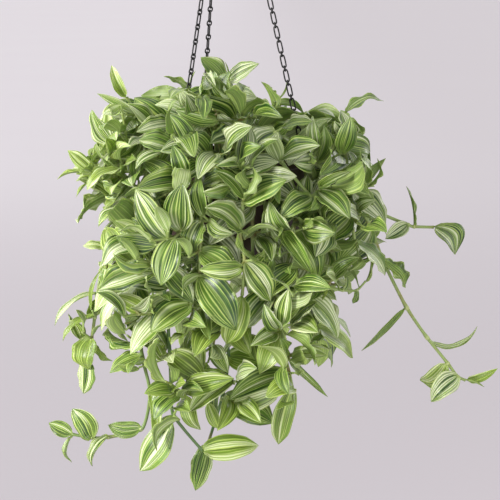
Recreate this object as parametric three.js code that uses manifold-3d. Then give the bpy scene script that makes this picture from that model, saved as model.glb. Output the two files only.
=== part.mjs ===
// Hanging potted tradescantia: a striped trailing plant in a round pot on three chains.
// Millimetres, +Z up. The origin is the point of the hook that bears on whatever holds the part up.
// Inside the group, heights are measured from the plane of the pot's rim.

import * as THREE from 'three';
import { mergeVertices } from 'three/addons/utils/BufferGeometryUtils.js';
import Module from 'manifold-3d';

// Driving dimensions

const RIM_DROP = 570;             // from the bearing point down to the rim plane
const GAP = 0.3;                  // between pieces that touch

const POT_RADIUS = 122;           // outside of the wall just under the rim band
const POT_DEPTH = 165;
const POT_WALL = 2.6;
const POT_SIDES = 24;
const BAND_HEIGHT = 12;
const BAND_PROUD = 3;
const DRAIN_HOLES = 4;
const DRAIN_RADIUS = 5;
const DRAIN_CIRCLE = 44;

const SOIL_DROP = 18;             // from the rim plane to the soil's middle
const SOIL_EDGE_DROP = 26;
const ROOT_DEPTH = 43;            // from the rim plane to the foot of each stem
const ROOT_COLLAR = 12;           // each stem stands upright up to this far under the rim plane

const CHAIN_ANGLES = { chain_right: -8, chain_front_left: -128, chain_back_left: 112 };
const CHAIN_PAIRS = 21;           // a long link and a short one by turns
const LONG_LINK = { halfLength: 8.4, halfWidth: 3.2 };
const SHORT_LINK = { halfLength: 3.9, halfWidth: 3.4 };
const END_LINK = { halfLength: 6.6, halfWidth: 6 };
const LINK_WIRE = 1;
const LINK_SINK = 0.4;            // how far a link is sunk into the next one
const SLOT_WIDTH = 6;             // slot in the pot's wall for the wire loop of a chain
const SLOT_HEIGHT = 7;
const SLOT_TOP = -BAND_HEIGHT - 2;
const LOOP_HALF_WIDTH = 12;
const LOOP_LENGTH = 38;
const LOOP_WIRE = 1.3;
const LOOP_CLIMB = 0.4;           // how far the loop's bar climbs in the thickness of the wall

const EYE_RADIUS = 13;            // middle of the wire of the hook's closed eye
const EYE_WIRE = 2.2;
const BEND_RADIUS = 16;
const APEX_HEIGHT = 487;          // middle of the wire at the bottom of the eye

const STEM_HALF = 2.3;            // half the side of the square stem at its foot
const STEM_TIP_HALF = 1.5;
const COLLAR = 7;                 // height of the joint that a leaf grows from
const BLADE_THICK = 1.5;
const BLADE_FOLD = 0.2;           // each half of a blade is raised this much, in radians
const BLADE_STATIONS = [0.27, 0.66];
const BASE_STATION = 0.12;        // where a blade's first direction is read
const SIDE_GRIP = 0.42;           // least cosine from the face of the stem that a leaf grows from
const END_GRIP = 0.3;             // the same for the leaf that ends the stem
const LIGHT_OUT = 0.85;           // leaves and stems turn their upper faces outwards and up
const LIGHT_UP = 0.7;
const CLEARANCE = 0.6;            // between leaves and what is near them

// The picture's viewpoint: leaves seen in it are placed by how they look from there
const VIEW_TILT = THREE.MathUtils.degToRad(10);
const VIEW_DISTANCE = 2600;
const VIEW_AIM = new THREE.Vector3(34, 0, -147);

const UP = new THREE.Vector3(0, 0, 1);
const TO_VIEWER = new THREE.Vector3(0, -Math.cos(VIEW_TILT), Math.sin(VIEW_TILT));

const wasm = await Module();
wasm.setup();

// Solids and meshes

function toSolid(geometry) {
  const plain = geometry.clone();
  plain.deleteAttribute('normal');
  plain.deleteAttribute('uv');
  const merged = mergeVertices(plain, 1e-4);
  const mesh = new wasm.Mesh({
    numProp: 3,
    vertProperties: new Float32Array(merged.attributes.position.array),
    triVerts: new Uint32Array(merged.index.array),
  });
  return new wasm.Manifold(mesh);
}

function toGeometry(solid) {
  const mesh = solid.getMesh();
  const geometry = new THREE.BufferGeometry();
  geometry.setAttribute('position', new THREE.BufferAttribute(mesh.vertProperties, 3));
  geometry.setIndex(new THREE.BufferAttribute(mesh.triVerts, 1));
  geometry.computeVertexNormals();
  return geometry;
}

function joined(geometries) {
  return geometries.map(toSolid).reduce((sum, solid) => sum.add(solid));
}

function material(color, roughness, metalness = 0) {
  return new THREE.MeshStandardMaterial({ color, roughness, metalness });
}

function namedMesh(name, geometry, look) {
  const mesh = new THREE.Mesh(geometry, look);
  mesh.name = name;
  return mesh;
}

function radial(degrees) {
  const angle = THREE.MathUtils.degToRad(degrees);
  return new THREE.Vector3(Math.cos(angle), Math.sin(angle), 0);
}

function polar(degrees, radius, height) {
  return radial(degrees).multiplyScalar(radius).setZ(height);
}

// Turned shapes: a profile of [radius, height] pairs goes round the Z axis

function turned(profile) {
  const points = profile.map(([radius, height]) => new THREE.Vector2(radius, height));
  return new THREE.LatheGeometry(points, POT_SIDES).rotateX(Math.PI / 2);
}

// The pot's wall, from its foot up: outside radius at each height
const WALL = [
  [70, -POT_DEPTH],
  [88, -POT_DEPTH + 8],
  [106, -POT_DEPTH + 38],
  [116, -85],
  [POT_RADIUS, -BAND_HEIGHT - 1],
];

function insideWall(offset) {
  return WALL.map(([radius, height]) => [radius - offset, Math.max(height, offset - POT_DEPTH)]);
}

function makePot() {
  const outside = [[0, -POT_DEPTH], ...WALL];
  const band = [
    [POT_RADIUS + BAND_PROUD, -BAND_HEIGHT],
    [POT_RADIUS + BAND_PROUD + 1, -2],
    [POT_RADIUS + BAND_PROUD - 1, 0],
    [POT_RADIUS - POT_WALL + 1, 0],
  ];
  const inside = insideWall(POT_WALL).reverse();
  const floor = [[0, POT_WALL - POT_DEPTH]];
  let solid = toSolid(turned([...outside, ...band, ...inside, ...floor]));
  for (let i = 0; i < DRAIN_HOLES; i += 1) {
    const hole = new THREE.CylinderGeometry(DRAIN_RADIUS, DRAIN_RADIUS, 4 * POT_WALL, 8);
    const place = polar(45 + i * (360 / DRAIN_HOLES), DRAIN_CIRCLE, -POT_DEPTH);
    solid = solid.subtract(toSolid(hole.rotateX(Math.PI / 2).translate(...place)));
  }
  for (const degrees of Object.values(CHAIN_ANGLES)) {
    const slot = new THREE.BoxGeometry(8 * POT_WALL, SLOT_WIDTH, SLOT_HEIGHT);
    const place = polar(degrees, POT_RADIUS - POT_WALL / 2, SLOT_TOP - SLOT_HEIGHT / 2);
    slot.rotateZ(THREE.MathUtils.degToRad(degrees));
    solid = solid.subtract(toSolid(slot.translate(...place)));
  }
  return namedMesh('pot', toGeometry(solid), material(0x3a2a20, 0.55));
}

function makeSoil(stems) {
  const side = insideWall(POT_WALL + GAP).filter(([, height]) => height < -SOIL_EDGE_DROP);
  const [lowRadius, lowHeight] = side[side.length - 1];
  const share = (-SOIL_EDGE_DROP - lowHeight) / (WALL[4][1] - lowHeight);
  const edge = THREE.MathUtils.lerp(lowRadius, POT_RADIUS - POT_WALL - GAP, share);
  const top = [[edge, -SOIL_EDGE_DROP], [60, -SOIL_DROP - 2], [0, -SOIL_DROP]];
  let solid = toSolid(turned([[0, side[0][1]], ...side, ...top]));
  for (const stem of stems) {
    const width = 2 * (STEM_HALF + GAP);
    const depth = ROOT_DEPTH + GAP;
    const hole = new THREE.BoxGeometry(width, width, depth);
    hole.rotateZ(Math.atan2(stem.foot.y, stem.foot.x));
    hole.translate(stem.foot.x, stem.foot.y, -depth / 2);
    solid = solid.subtract(toSolid(hole));
  }
  return namedMesh('soil', toGeometry(solid), material(0x2e2119, 0.95));
}

// Wire loops: a torus whose sections are moved onto the corners of an outline

function wireLoop(outline, wire, sides, centre, across, along) {
  const count = outline.length;
  const torus = new THREE.TorusGeometry(4 * wire, wire, sides, count);
  torus.deleteAttribute('normal');
  torus.deleteAttribute('uv');
  const position = torus.attributes.position;
  const face = across.clone().cross(along).normalize();
  for (let side = 0; side <= sides; side += 1) {
    for (let corner = 0; corner <= count; corner += 1) {
      const here = outline[corner % count];
      const before = outline[(corner + count - 1) % count];
      const after = outline[(corner + 1) % count];
      const arriving = new THREE.Vector2(here[0] - before[0], here[1] - before[1]).normalize();
      const leaving = new THREE.Vector2(after[0] - here[0], after[1] - here[1]).normalize();
      const mean = arriving.clone().add(leaving).normalize();
      const mitre = 1 / mean.dot(leaving);
      const angle = Math.PI + (side / sides) * 2 * Math.PI;
      const out = Math.cos(angle) * wire * mitre;
      const point = centre.clone();
      point.addScaledVector(across, here[0] + out * mean.y);
      point.addScaledVector(along, here[1] - out * mean.x);
      point.addScaledVector(face, Math.sin(angle) * wire);
      position.setXYZ(side * (count + 1) + corner, point.x, point.y, point.z);
    }
  }
  return torus;
}

function linkOutline({ halfLength, halfWidth }) {
  const end = 0.68 * halfWidth;
  return [
    [-end, -halfLength], [end, -halfLength], [halfWidth, 0],
    [end, halfLength], [-end, halfLength], [-halfWidth, 0],
  ];
}

function rimLoopOutline() {
  const side = LOOP_HALF_WIDTH;
  return [
    [-side + 4, 0], [side - 4, 0], [side, 5], [side, 15],
    [2, LOOP_LENGTH], [-2, LOOP_LENGTH], [-side, 15], [-side, 5],
  ];
}

// Where each chain's end link hangs on the eye, as an angle round the eye from its lowest point
const EYE_SEATS = { chain_right: 28, chain_front_left: 0, chain_back_left: -28 };
const EYE_CENTRE = new THREE.Vector3(0, 0, APEX_HEIGHT + EYE_RADIUS);

function chainLine(name) {
  const seat = THREE.MathUtils.degToRad(EYE_SEATS[name]);
  const top = new THREE.Vector3(Math.sin(seat), 0, -Math.cos(seat));
  top.multiplyScalar(EYE_RADIUS).add(EYE_CENTRE);
  const low = SLOT_TOP - GAP - LOOP_WIRE - LOOP_CLIMB;
  const foot = polar(CHAIN_ANGLES[name], POT_RADIUS - POT_WALL / 2, low);
  const along = top.clone().sub(foot).normalize();
  const eyeWire = new THREE.Vector3(Math.cos(seat), 0, Math.sin(seat));
  return { top, foot, along, eyeWire };
}

function radialAcross(name, along) {
  const outward = radial(CHAIN_ANGLES[name]);
  return outward.addScaledVector(along, -outward.dot(along)).normalize();
}

function makeChain(name) {
  const { top, foot, along, eyeWire } = chainLine(name);
  const outward = radialAcross(name, along);
  const loops = [wireLoop(rimLoopOutline(), LOOP_WIRE, 4, foot, outward, along)];
  const overlap = 2 * LINK_WIRE - LINK_SINK;
  const endHalf = END_LINK.halfLength;
  const slant = eyeWire.clone().cross(along).length();
  const seat = endHalf - (EYE_WIRE + GAP) / slant - GAP - LINK_WIRE;
  const endCentre = top.clone().addScaledVector(along, -seat);
  const start = LOOP_LENGTH - overlap;
  const finish = endCentre.distanceTo(foot) - endHalf + overlap;
  const pitch = (finish - start) / (CHAIN_PAIRS + 0.5);
  const shortSpan = 2 * SHORT_LINK.halfLength - overlap;
  const long = { ...LONG_LINK, halfLength: (pitch - shortSpan + overlap) / 2 };
  const endsOnShort = (finish - start - CHAIN_PAIRS * pitch - shortSpan) / 2;
  const turnedAxis = outward.clone().cross(along).normalize();
  let reach = start + endsOnShort;
  for (let i = 0; i <= 2 * CHAIN_PAIRS; i += 1) {
    const link = i % 2 === 0 ? SHORT_LINK : long;
    const half = link.halfLength - overlap / 2;
    const centre = foot.clone().addScaledVector(along, reach + half);
    const across = i % 2 === 0 ? turnedAxis : outward;
    loops.push(wireLoop(linkOutline(link), LINK_WIRE, 3, centre, across, along));
    reach += 2 * half;
  }
  const across = eyeWire.clone().cross(along).normalize();
  loops.push(wireLoop(linkOutline(END_LINK), LINK_WIRE, 3, endCentre, across, along));
  return namedMesh(name, toGeometry(joined(loops)), material(0x141414, 0.45, 0.8));
}

function makeHook() {
  const eye = new THREE.TorusGeometry(EYE_RADIUS, EYE_WIRE, 6, 14).rotateX(Math.PI / 2);
  eye.translate(...EYE_CENTRE);
  const bendCentre = RIM_DROP + EYE_WIRE - BEND_RADIUS;
  const eyeTop = EYE_CENTRE.z + EYE_RADIUS;
  const points = [];
  for (let degrees = 205; degrees >= 0; degrees -= 25.625) {
    const angle = THREE.MathUtils.degToRad(degrees);
    const height = bendCentre + BEND_RADIUS * Math.sin(angle);
    points.push(new THREE.Vector3(BEND_RADIUS * Math.cos(angle), 0, height));
  }
  points.push(new THREE.Vector3(BEND_RADIUS * 0.7, 0, bendCentre - 10));
  points.push(new THREE.Vector3(2, 0, eyeTop + 8));
  points.push(new THREE.Vector3(0, 0, eyeTop - 0.5));
  const section = new THREE.Shape();
  for (let corner = 0; corner < 6; corner += 1) {
    const angle = (corner / 6) * 2 * Math.PI;
    const spot = [EYE_WIRE * Math.cos(angle), EYE_WIRE * Math.sin(angle)];
    if (corner === 0) section.moveTo(...spot);
    else section.lineTo(...spot);
  }
  const path = new THREE.CatmullRomCurve3(points);
  const shank = new THREE.ExtrudeGeometry(section, { steps: 22, extrudePath: path });
  return namedMesh('hanger_hook', toGeometry(joined([eye, shank])), material(0x141414, 0.45, 0.8));
}

// Seeded draws, one stream for each stem

function draws(seed) {
  let state = (seed * 2654435761) >>> 0;
  return () => {
    state = (state + 0x6d2b79f5) >>> 0;
    let mixed = Math.imul(state ^ (state >>> 15), 1 | state);
    mixed = (mixed + Math.imul(mixed ^ (mixed >>> 7), 61 | mixed)) ^ mixed;
    return ((mixed ^ (mixed >>> 14)) >>> 0) / 4294967296;
  };
}

// A spot seen in the picture: x to the right of the chains' middle, h above the rim's middle,
// both as they look at the distance of the pot's middle, and y the depth, less than 0 in front
function seen([x, h, y]) {
  const depth = VIEW_DISTANCE + y * Math.cos(VIEW_TILT) - h * Math.sin(VIEW_TILT);
  const scale = depth / VIEW_DISTANCE;
  const right = VIEW_AIM.x + (x - VIEW_AIM.x) * scale;
  const raised = (h - VIEW_AIM.z * Math.cos(VIEW_TILT)) * scale;
  const height = VIEW_AIM.z + (raised - y * Math.sin(VIEW_TILT)) / Math.cos(VIEW_TILT);
  return new THREE.Vector3(right, y, height);
}

// Stems seen in the picture. angle and foot: where the stem is rooted; crest: how high it arches.
// Each joint carries the leaf of the same number in tips, whose fourth value is its width and
// whose fifth, if it has one, is how much it faces the viewer; the last leaf ends the stem.

const SEEN_STEMS = {
  top_left: {
    angle: 172, foot: 72, crest: 30,
    joints: [[-112, 38, 0], [-138, 62, -8], [-154, 88, -10]],
    tips: [[-150, 20, -70, 34], [-193, 104, -12, 14], [-182, 136, -15, 28, 1]],
  },
  left_upper: {
    angle: 192, foot: 84, crest: 18,
    joints: [[-128, 8, -42], [-152, 10, -55], [-176, 18, -62]],
    tips: [[-128, -50, -95, 34], [-209, -16, -80, 32], [-205, 70, -60, 36]],
  },
  left_spray: {
    angle: 205, foot: 74, crest: 16,
    joints: [[-138, -22, -68], [-166, -26, -84], [-202, -28, -90], [-221, -28, -94]],
    tips: [[-172, -92, -120, 38], [-229, -56, -112, 18], [-246, 4, -85, 20, 0.6],
      [-259, -37, -97, 14]],
  },
  left_hang: {
    angle: 215, foot: 94, crest: 14,
    joints: [[-136, -52, -100], [-160, -86, -130], [-184, -112, -125], [-187, -142, -120],
      [-184, -172, -115]],
    tips: [[-108, -112, -160, 40], [-196, -110, -132, 30], [-150, -170, -150, 36],
      [-220, -140, -118, 18], [-172, -222, -120, 30]],
  },
  lower_left: {
    angle: 185, foot: 98, crest: 14,
    joints: [[-152, -70, -20], [-172, -120, -60], [-190, -168, -70], [-198, -212, -80],
      [-202, -246, -85], [-207, -280, -85], [-212, -308, -90]],
    tips: [[-190, -86, -62, 34], [-128, -160, -110, 38], [-150, -232, -100, 38],
      [-264, -258, -95, 16], [-250, -284, -98, 16], [-221, -331, -100, 40, 0.9],
      [-220, -364, -80, 34, 0.8]],
  },
  bottom_left: {
    angle: 224, foot: 64, crest: 22,
    joints: [[-120, -60, -122], [-130, -130, -150], [-132, -196, -160], [-134, -250, -152],
      [-130, -306, -145], [-118, -362, -142], [-130, -416, -138], [-180, -429, -135],
      [-206, -430, -132], [-236, -425, -130]],
    tips: [[-60, -95, -175, 42], [-192, -176, -170, 42], [-197, -268, -165, 42],
      [-84, -296, -160, 38], [-180, -330, -150, 30], [-114, -436, -166, 18],
      [-182, -411, -130, 26, 0.8], [-206, -474, -140, 22], [-236, -386, -128, 32, 0.8],
      [-272, -408, -126, 22, 0.5]],
  },
  bottom_middle: {
    angle: 248, foot: 92, crest: 16,
    joints: [[-66, -40, -165], [-98, -168, -178], [-92, -236, -172], [-88, -300, -165],
      [-86, -352, -160], [-82, -396, -155], [-38, -450, -150]],
    tips: [[-150, -40, -175, 40], [-38, -212, -195, 40], [-150, -300, -180, 42],
      [-38, -344, -180, 42], [-118, -372, -168, 24], [-139, -484, -150, 47, 0.8],
      [48, -431, -152, 40]],
  },
  bottom_tip: {
    angle: 267, foot: 66, crest: 20, lead: [[-8, -70, -158], [-8, -170, -148]],
    joints: [[-6, -250, -120], [2, -306, -115], [-2, -334, -113], [-8, -368, -110],
      [-30, -440, -105]],
    tips: [[50, -292, -150, 38], [74, -326, -140, 44], [-52, -372, -125, 36],
      [70, -408, -118, 46], [-50, -512, -100, 32]],
  },
  bottom_right: {
    angle: 289, foot: 84, crest: 18, lead: [[56, -70, -160]],
    joints: [[64, -150, -165], [70, -206, -160], [78, -262, -155], [88, -308, -150],
      [94, -332, -147], [98, -352, -145]],
    tips: [[34, -212, -185, 38], [20, -262, -178, 42], [46, -332, -175, 38],
      [152, -368, -145, 16], [2, -373, -165, 36], [78, -442, -140, 34]],
  },
  right_low: {
    angle: 308, foot: 92, crest: 16,
    joints: [[104, -60, -135], [100, -118, -160], [104, -170, -165], [112, -212, -158],
      [134, -262, -148]],
    tips: [[46, -112, -195, 42], [145, -192, -190, 46], [46, -222, -185, 42],
      [168, -278, -165, 46], [198, -302, -140, 40]],
  },
  right_trail: {
    angle: 335, foot: 78, crest: 16,
    joints: [[160, -26, -80], [190, -56, -88], [218, -112, -80], [236, -160, -70],
      [271, -230, -62], [302, -276, -55], [334, -316, -52], [350, -337, -50], [362, -343, -49]],
    tips: [[128, -84, -125, 40], [240, -106, -100, 46, 0.6], [176, -170, -100, 38],
      [280, -198, -75, 30, 0.8], [205, -300, -80, 13], [380, -261, -45, 14],
      [288, -350, -30, 30, 1.2], [302, -370, -74, 34, 1.4], [411, -325, -40, 15, 0.5]],
  },
  right_spray: {
    angle: 0, foot: 96, crest: 14,
    joints: [[162, -10, 0], [194, -52, -24], [228, -86, -34], [274, -106, -33], [283, -109, -33],
      [314, -110, -34]],
    tips: [[214, 6, -40, 34], [240, -4, -20, 15], [196, -118, -70, 38],
      [240, -128, -50, 22, 0.4], [272, -48, -22, 14], [346, -152, -50, 42, 1.6]],
  },
  right_upper: {
    angle: 12, foot: 76, crest: 26,
    joints: [[130, 18, 22], [156, 22, 0], [172, 40, -20], [180, 63, -20]],
    tips: [[120, 64, -40, 30], [186, -22, -62, 30], [137, 72, -40, 26], [240, 90, -18, 28]],
  },
  top_middle: {
    angle: 150, foot: 28, crest: 24,
    joints: [[-18, 46, 14], [-14, 82, 12], [-5, 114, 8]],
    tips: [[-66, 64, 0, 34], [5, 60, -30, 24], [-39, 151, 6, 30, 1]],
  },
  top_leaf: {
    angle: 60, foot: 26, crest: 24,
    joints: [[16, 50, 14], [2, 113, 26]],
    tips: [[62, 70, -10, 30], [48, 139, 10, 34, 1]],
  },
  top_behind: {
    angle: 158, foot: 62, crest: 26,
    joints: [[-66, 44, 42], [-66, 78, 44], [-58, 100, 44]],
    tips: [[-116, 66, 30, 32], [-90, 64, 16, 28], [-99, 117, 44, 24]],
  },
  top_right: {
    angle: 42, foot: 64, crest: 24,
    joints: [[58, 46, 50], [70, 74, 54], [78, 86, 54]],
    tips: [[14, 74, 34, 32], [119, 66, 48, 30], [56, 97, 66, 16]],
  },
  front_left: {
    angle: 241, foot: 50, crest: 34,
    joints: [[-80, 10, -146], [-84, -58, -182], [-70, -114, -196], [-80, -126, -196],
      [-104, -176, -188]],
    tips: [[-136, 26, -150, 36], [-28, -62, -205, 42], [-74, -42, -222, 46],
      [-106, -198, -226, 40], [-197, -206, -186, 46]],
  },
  front_middle_left: {
    angle: 259, foot: 98, crest: 16,
    joints: [[-30, 0, -155], [-42, -50, -178], [-40, -100, -192], [-42, -146, -196],
      [-44, -184, -192], [-56, -228, -186]],
    tips: [[-62, 34, -180, 36], [6, -34, -200, 44], [-78, -140, -206, 36], [14, -186, -212, 42],
      [20, -262, -212, 52], [-123, -260, -196, 48]],
  },
  front_middle: {
    angle: 276, foot: 84, crest: 26,
    joints: [[14, 26, -140], [26, -26, -172], [24, -72, -192], [18, -114, -204],
      [26, -162, -200], [22, -214, -190]],
    tips: [[-24, 14, -178, 38], [78, -10, -195, 38], [88, -32, -222, 44], [-32, -74, -232, 46],
      [74, -222, -200, 40], [4, -296, -192, 40]],
  },
  front_right: {
    angle: 299, foot: 48, crest: 36,
    joints: [[72, 34, -126], [80, -8, -158], [126, -64, -168], [150, -104, -160]],
    tips: [[34, 0, -176, 42], [140, 12, -185, 42], [82, -92, -215, 36], [146, -160, -180, 40]],
  },
  right_front: {
    angle: 319, foot: 96, crest: 16,
    joints: [[134, -12, -120], [164, -48, -128], [186, -92, -128], [194, -134, -124]],
    tips: [[154, 44, -130, 36], [128, -74, -170, 38], [142, -132, -160, 42],
      [238, -186, -112, 34]],
  },
};

// Stems by rule, where the picture doesn't show single ones: at the back, under the front ones
// and on top. Each angle in a row is one stem, and the draws bend it a little.
const STEM_ROWS = {
  crown: { angles: [20, 105, 205, 290], foot: 36, crest: 38, reach: 112, depth: -32 },
  back_long: {
    angles: [30, 50, 77, 102, 127, 154], foot: 92, crest: 16, reach: 172, depth: 284,
  },
  back_short: { angles: [35, 62, 90, 116, 145], foot: 64, crest: 32, reach: 208, depth: 150 },
  under_front: { angles: [256, 283, 326, 343], foot: 68, crest: 20, reach: 150, depth: 262 },
};
const INTERNODE = 38;
const CROWN_INTERNODE = 27;
const LEAF_LENGTH = 84;
const LEAF_WIDTH_SHARE = 0.5;

// What is tried for a leaf, in turn, until it is clear of its neighbours:
// turned in its own plane, lifted, and made smaller
const LEAF_TRIES = [
  [0, 0, 1], [12, 0, 1], [-12, 0, 1], [0, 14, 1], [0, -14, 1], [16, 16, 0.96], [-16, 16, 0.96],
  [16, -16, 0.96], [-16, -16, 0.96], [30, 0, 0.92], [-30, 0, 0.92], [0, 32, 0.9], [0, -32, 0.9],
  [34, 24, 0.84], [-34, 24, 0.84], [34, -24, 0.84], [-34, -24, 0.84], [55, 0, 0.78],
  [-55, 0, 0.78], [0, 55, 0.72], [0, -50, 0.72], [0, 14, 0.6], [25, 14, 0.6], [-25, 14, 0.6],
];

// A leaf: base, the unit chord from base to tip, the unit normal of its upper face at half length,
// chord length, width, bend in radians and twist in radians

function leafNormal(chord, middle, roll, facing = 0) {
  const outward = new THREE.Vector3(middle.x, middle.y, 0);
  const reach = Math.max(outward.length(), 1);
  outward.multiplyScalar(Math.min(reach / POT_RADIUS, 1) / reach);
  const light = outward.multiplyScalar(LIGHT_OUT).addScaledVector(UP, LIGHT_UP);
  light.addScaledVector(TO_VIEWER, facing);
  const normal = light.addScaledVector(chord, -light.dot(chord));
  if (normal.length() < 0.2) normal.addScaledVector(perpendicular(chord), 0.5);
  return normal.normalize().applyAxisAngle(chord, roll);
}

function perpendicular(axis) {
  const flat = new THREE.Vector3(-axis.y, axis.x, 0);
  if (flat.length() < 0.1) flat.set(1, 0, 0);
  return flat.normalize();
}

function tried(leaf, [turn, lift, scale]) {
  const across = leaf.chord.clone().cross(leaf.normal);
  const turnAngle = THREE.MathUtils.degToRad(turn);
  const liftAngle = THREE.MathUtils.degToRad(lift);
  const chord = leaf.chord.clone().applyAxisAngle(across, liftAngle);
  const normal = leaf.normal.clone().applyAxisAngle(across, liftAngle);
  chord.applyAxisAngle(normal, turnAngle);
  return { ...leaf, chord, normal, length: leaf.length * scale, width: leaf.width * scale };
}

// Half width of a blade along its length, as a share of its half width at the widest
function bladeOutline(share) {
  return Math.sin(Math.PI * share ** 0.8) ** 0.75;
}

function bladeSection(leaf, share) {
  const angle = leaf.bend * (share - 0.5);
  const radius = leaf.length / (2 * Math.sin(leaf.bend / 2));
  const rise = Math.cos(angle) - Math.cos(leaf.bend / 2);
  const middle = leaf.base.clone().addScaledVector(leaf.chord, leaf.length / 2);
  middle.addScaledVector(leaf.chord, radius * Math.sin(angle));
  middle.addScaledVector(leaf.normal, radius * rise);
  const along = leaf.chord.clone().multiplyScalar(Math.cos(angle));
  along.addScaledVector(leaf.normal, -Math.sin(angle));
  const twist = leaf.twist * (share - 0.3);
  const normal = leaf.normal.clone().multiplyScalar(Math.cos(angle));
  normal.addScaledVector(leaf.chord, Math.sin(angle)).applyAxisAngle(along, twist);
  const across = along.clone().cross(normal);
  const half = (leaf.width / 2) * bladeOutline(share);
  const raised = middle.clone().addScaledVector(normal, half * Math.sin(BLADE_FOLD));
  const out = half * Math.cos(BLADE_FOLD);
  return {
    middle,
    top: middle.clone().addScaledVector(normal, BLADE_THICK / 2),
    plus: raised.clone().addScaledVector(across, out),
    bottom: middle.clone().addScaledVector(normal, -BLADE_THICK / 2),
    minus: raised.clone().addScaledVector(across, -out),
  };
}

function bladeTip(leaf) {
  return leaf.base.clone().addScaledVector(leaf.chord, leaf.length);
}

// The middle surface of a blade as triangles, for the clearance between pieces
function bladeSkin(leaf) {
  const sections = BLADE_STATIONS.map((share) => bladeSection(leaf, share));
  const tip = bladeTip(leaf);
  const first = sections[0];
  const last = sections[sections.length - 1];
  const triangles = [
    [leaf.base, first.plus, first.middle],
    [leaf.base, first.middle, first.minus],
    [last.plus, tip, last.middle],
    [last.middle, tip, last.minus],
  ];
  for (let i = 1; i < sections.length; i += 1) {
    const from = sections[i - 1];
    const to = sections[i];
    triangles.push([from.plus, from.middle, to.middle], [from.plus, to.middle, to.plus]);
    triangles.push([from.minus, to.middle, from.middle], [from.minus, to.minus, to.middle]);
  }
  return triangles;
}

// Distances between segments and triangles

function segmentDistance(a, b, c, d) {
  const u = b.clone().sub(a);
  const v = d.clone().sub(c);
  const w = a.clone().sub(c);
  const uu = u.dot(u);
  const uv = u.dot(v);
  const vv = v.dot(v);
  const uw = u.dot(w);
  const vw = v.dot(w);
  const spread = uu * vv - uv * uv;
  let s = spread > 1e-9 ? THREE.MathUtils.clamp((uv * vw - vv * uw) / spread, 0, 1) : 0;
  const t = THREE.MathUtils.clamp((uv * s + vw) / Math.max(vv, 1e-9), 0, 1);
  s = THREE.MathUtils.clamp((uv * t - uw) / Math.max(uu, 1e-9), 0, 1);
  return w.addScaledVector(u, s).addScaledVector(v, -t).length();
}

const scratchTriangle = new THREE.Triangle();
const scratchPoint = new THREE.Vector3();

function segmentTriangleDistance(a, b, [p, q, r]) {
  scratchTriangle.set(p, q, r);
  const direction = b.clone().sub(a);
  const length = direction.length();
  const ray = new THREE.Ray(a, direction.normalize());
  if (ray.intersectTriangle(p, q, r, false, scratchPoint)) {
    if (scratchPoint.distanceTo(a) <= length) return 0;
  }
  let nearest = Math.min(segmentDistance(a, b, p, q), segmentDistance(a, b, q, r));
  nearest = Math.min(nearest, segmentDistance(a, b, r, p));
  for (const end of [a, b]) {
    scratchTriangle.closestPointToPoint(end, scratchPoint);
    nearest = Math.min(nearest, scratchPoint.distanceTo(end));
  }
  return nearest;
}

function boxOf(points, margin) {
  return new THREE.Box3().setFromPoints(points).expandByScalar(margin);
}

function trianglesTouch(first, second, distance) {
  for (let i = 0; i < 3; i += 1) {
    const j = (i + 1) % 3;
    if (segmentTriangleDistance(first[i], first[j], second) < distance) return true;
    if (segmentTriangleDistance(second[i], second[j], first) < distance) return true;
  }
  return false;
}

// What is already in place: thin sheets (blades, the pot, the soil) and round rods (stems, chains)

const sheets = [];
const rods = [];

function addSheet(triangles, thick, owner) {
  for (const triangle of triangles) {
    sheets.push({ triangle, box: boxOf(triangle, 0.01), half: thick / 2, owner });
  }
}

function addRod(from, to, radius, owner) {
  rods.push({ from, to, radius, owner, box: boxOf([from, to], radius) });
}

function sheetIsClear(triangles, thick, owner, skipOwnRods) {
  for (const triangle of triangles) {
    const box = boxOf(triangle, thick / 2 + CLEARANCE);
    for (const sheet of sheets) {
      if (!box.intersectsBox(sheet.box)) continue;
      const distance = thick / 2 + sheet.half + CLEARANCE;
      if (trianglesTouch(triangle, sheet.triangle, distance)) return false;
    }
    for (const rod of rods) {
      if (skipOwnRods && rod.owner === owner) continue;
      if (!box.intersectsBox(rod.box)) continue;
      const distance = thick / 2 + rod.radius + CLEARANCE;
      if (segmentTriangleDistance(rod.from, rod.to, triangle) < distance) return false;
    }
  }
  return true;
}

function rodIsClear(from, to, radius) {
  const box = boxOf([from, to], radius + GAP);
  for (const rod of rods) {
    if (!box.intersectsBox(rod.box)) continue;
    if (segmentDistance(from, to, rod.from, rod.to) < radius + rod.radius + GAP) return false;
  }
  for (const sheet of sheets) {
    if (!box.intersectsBox(sheet.box)) continue;
    const distance = radius + sheet.half + GAP;
    if (segmentTriangleDistance(from, to, sheet.triangle) < distance) return false;
  }
  return true;
}

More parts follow.
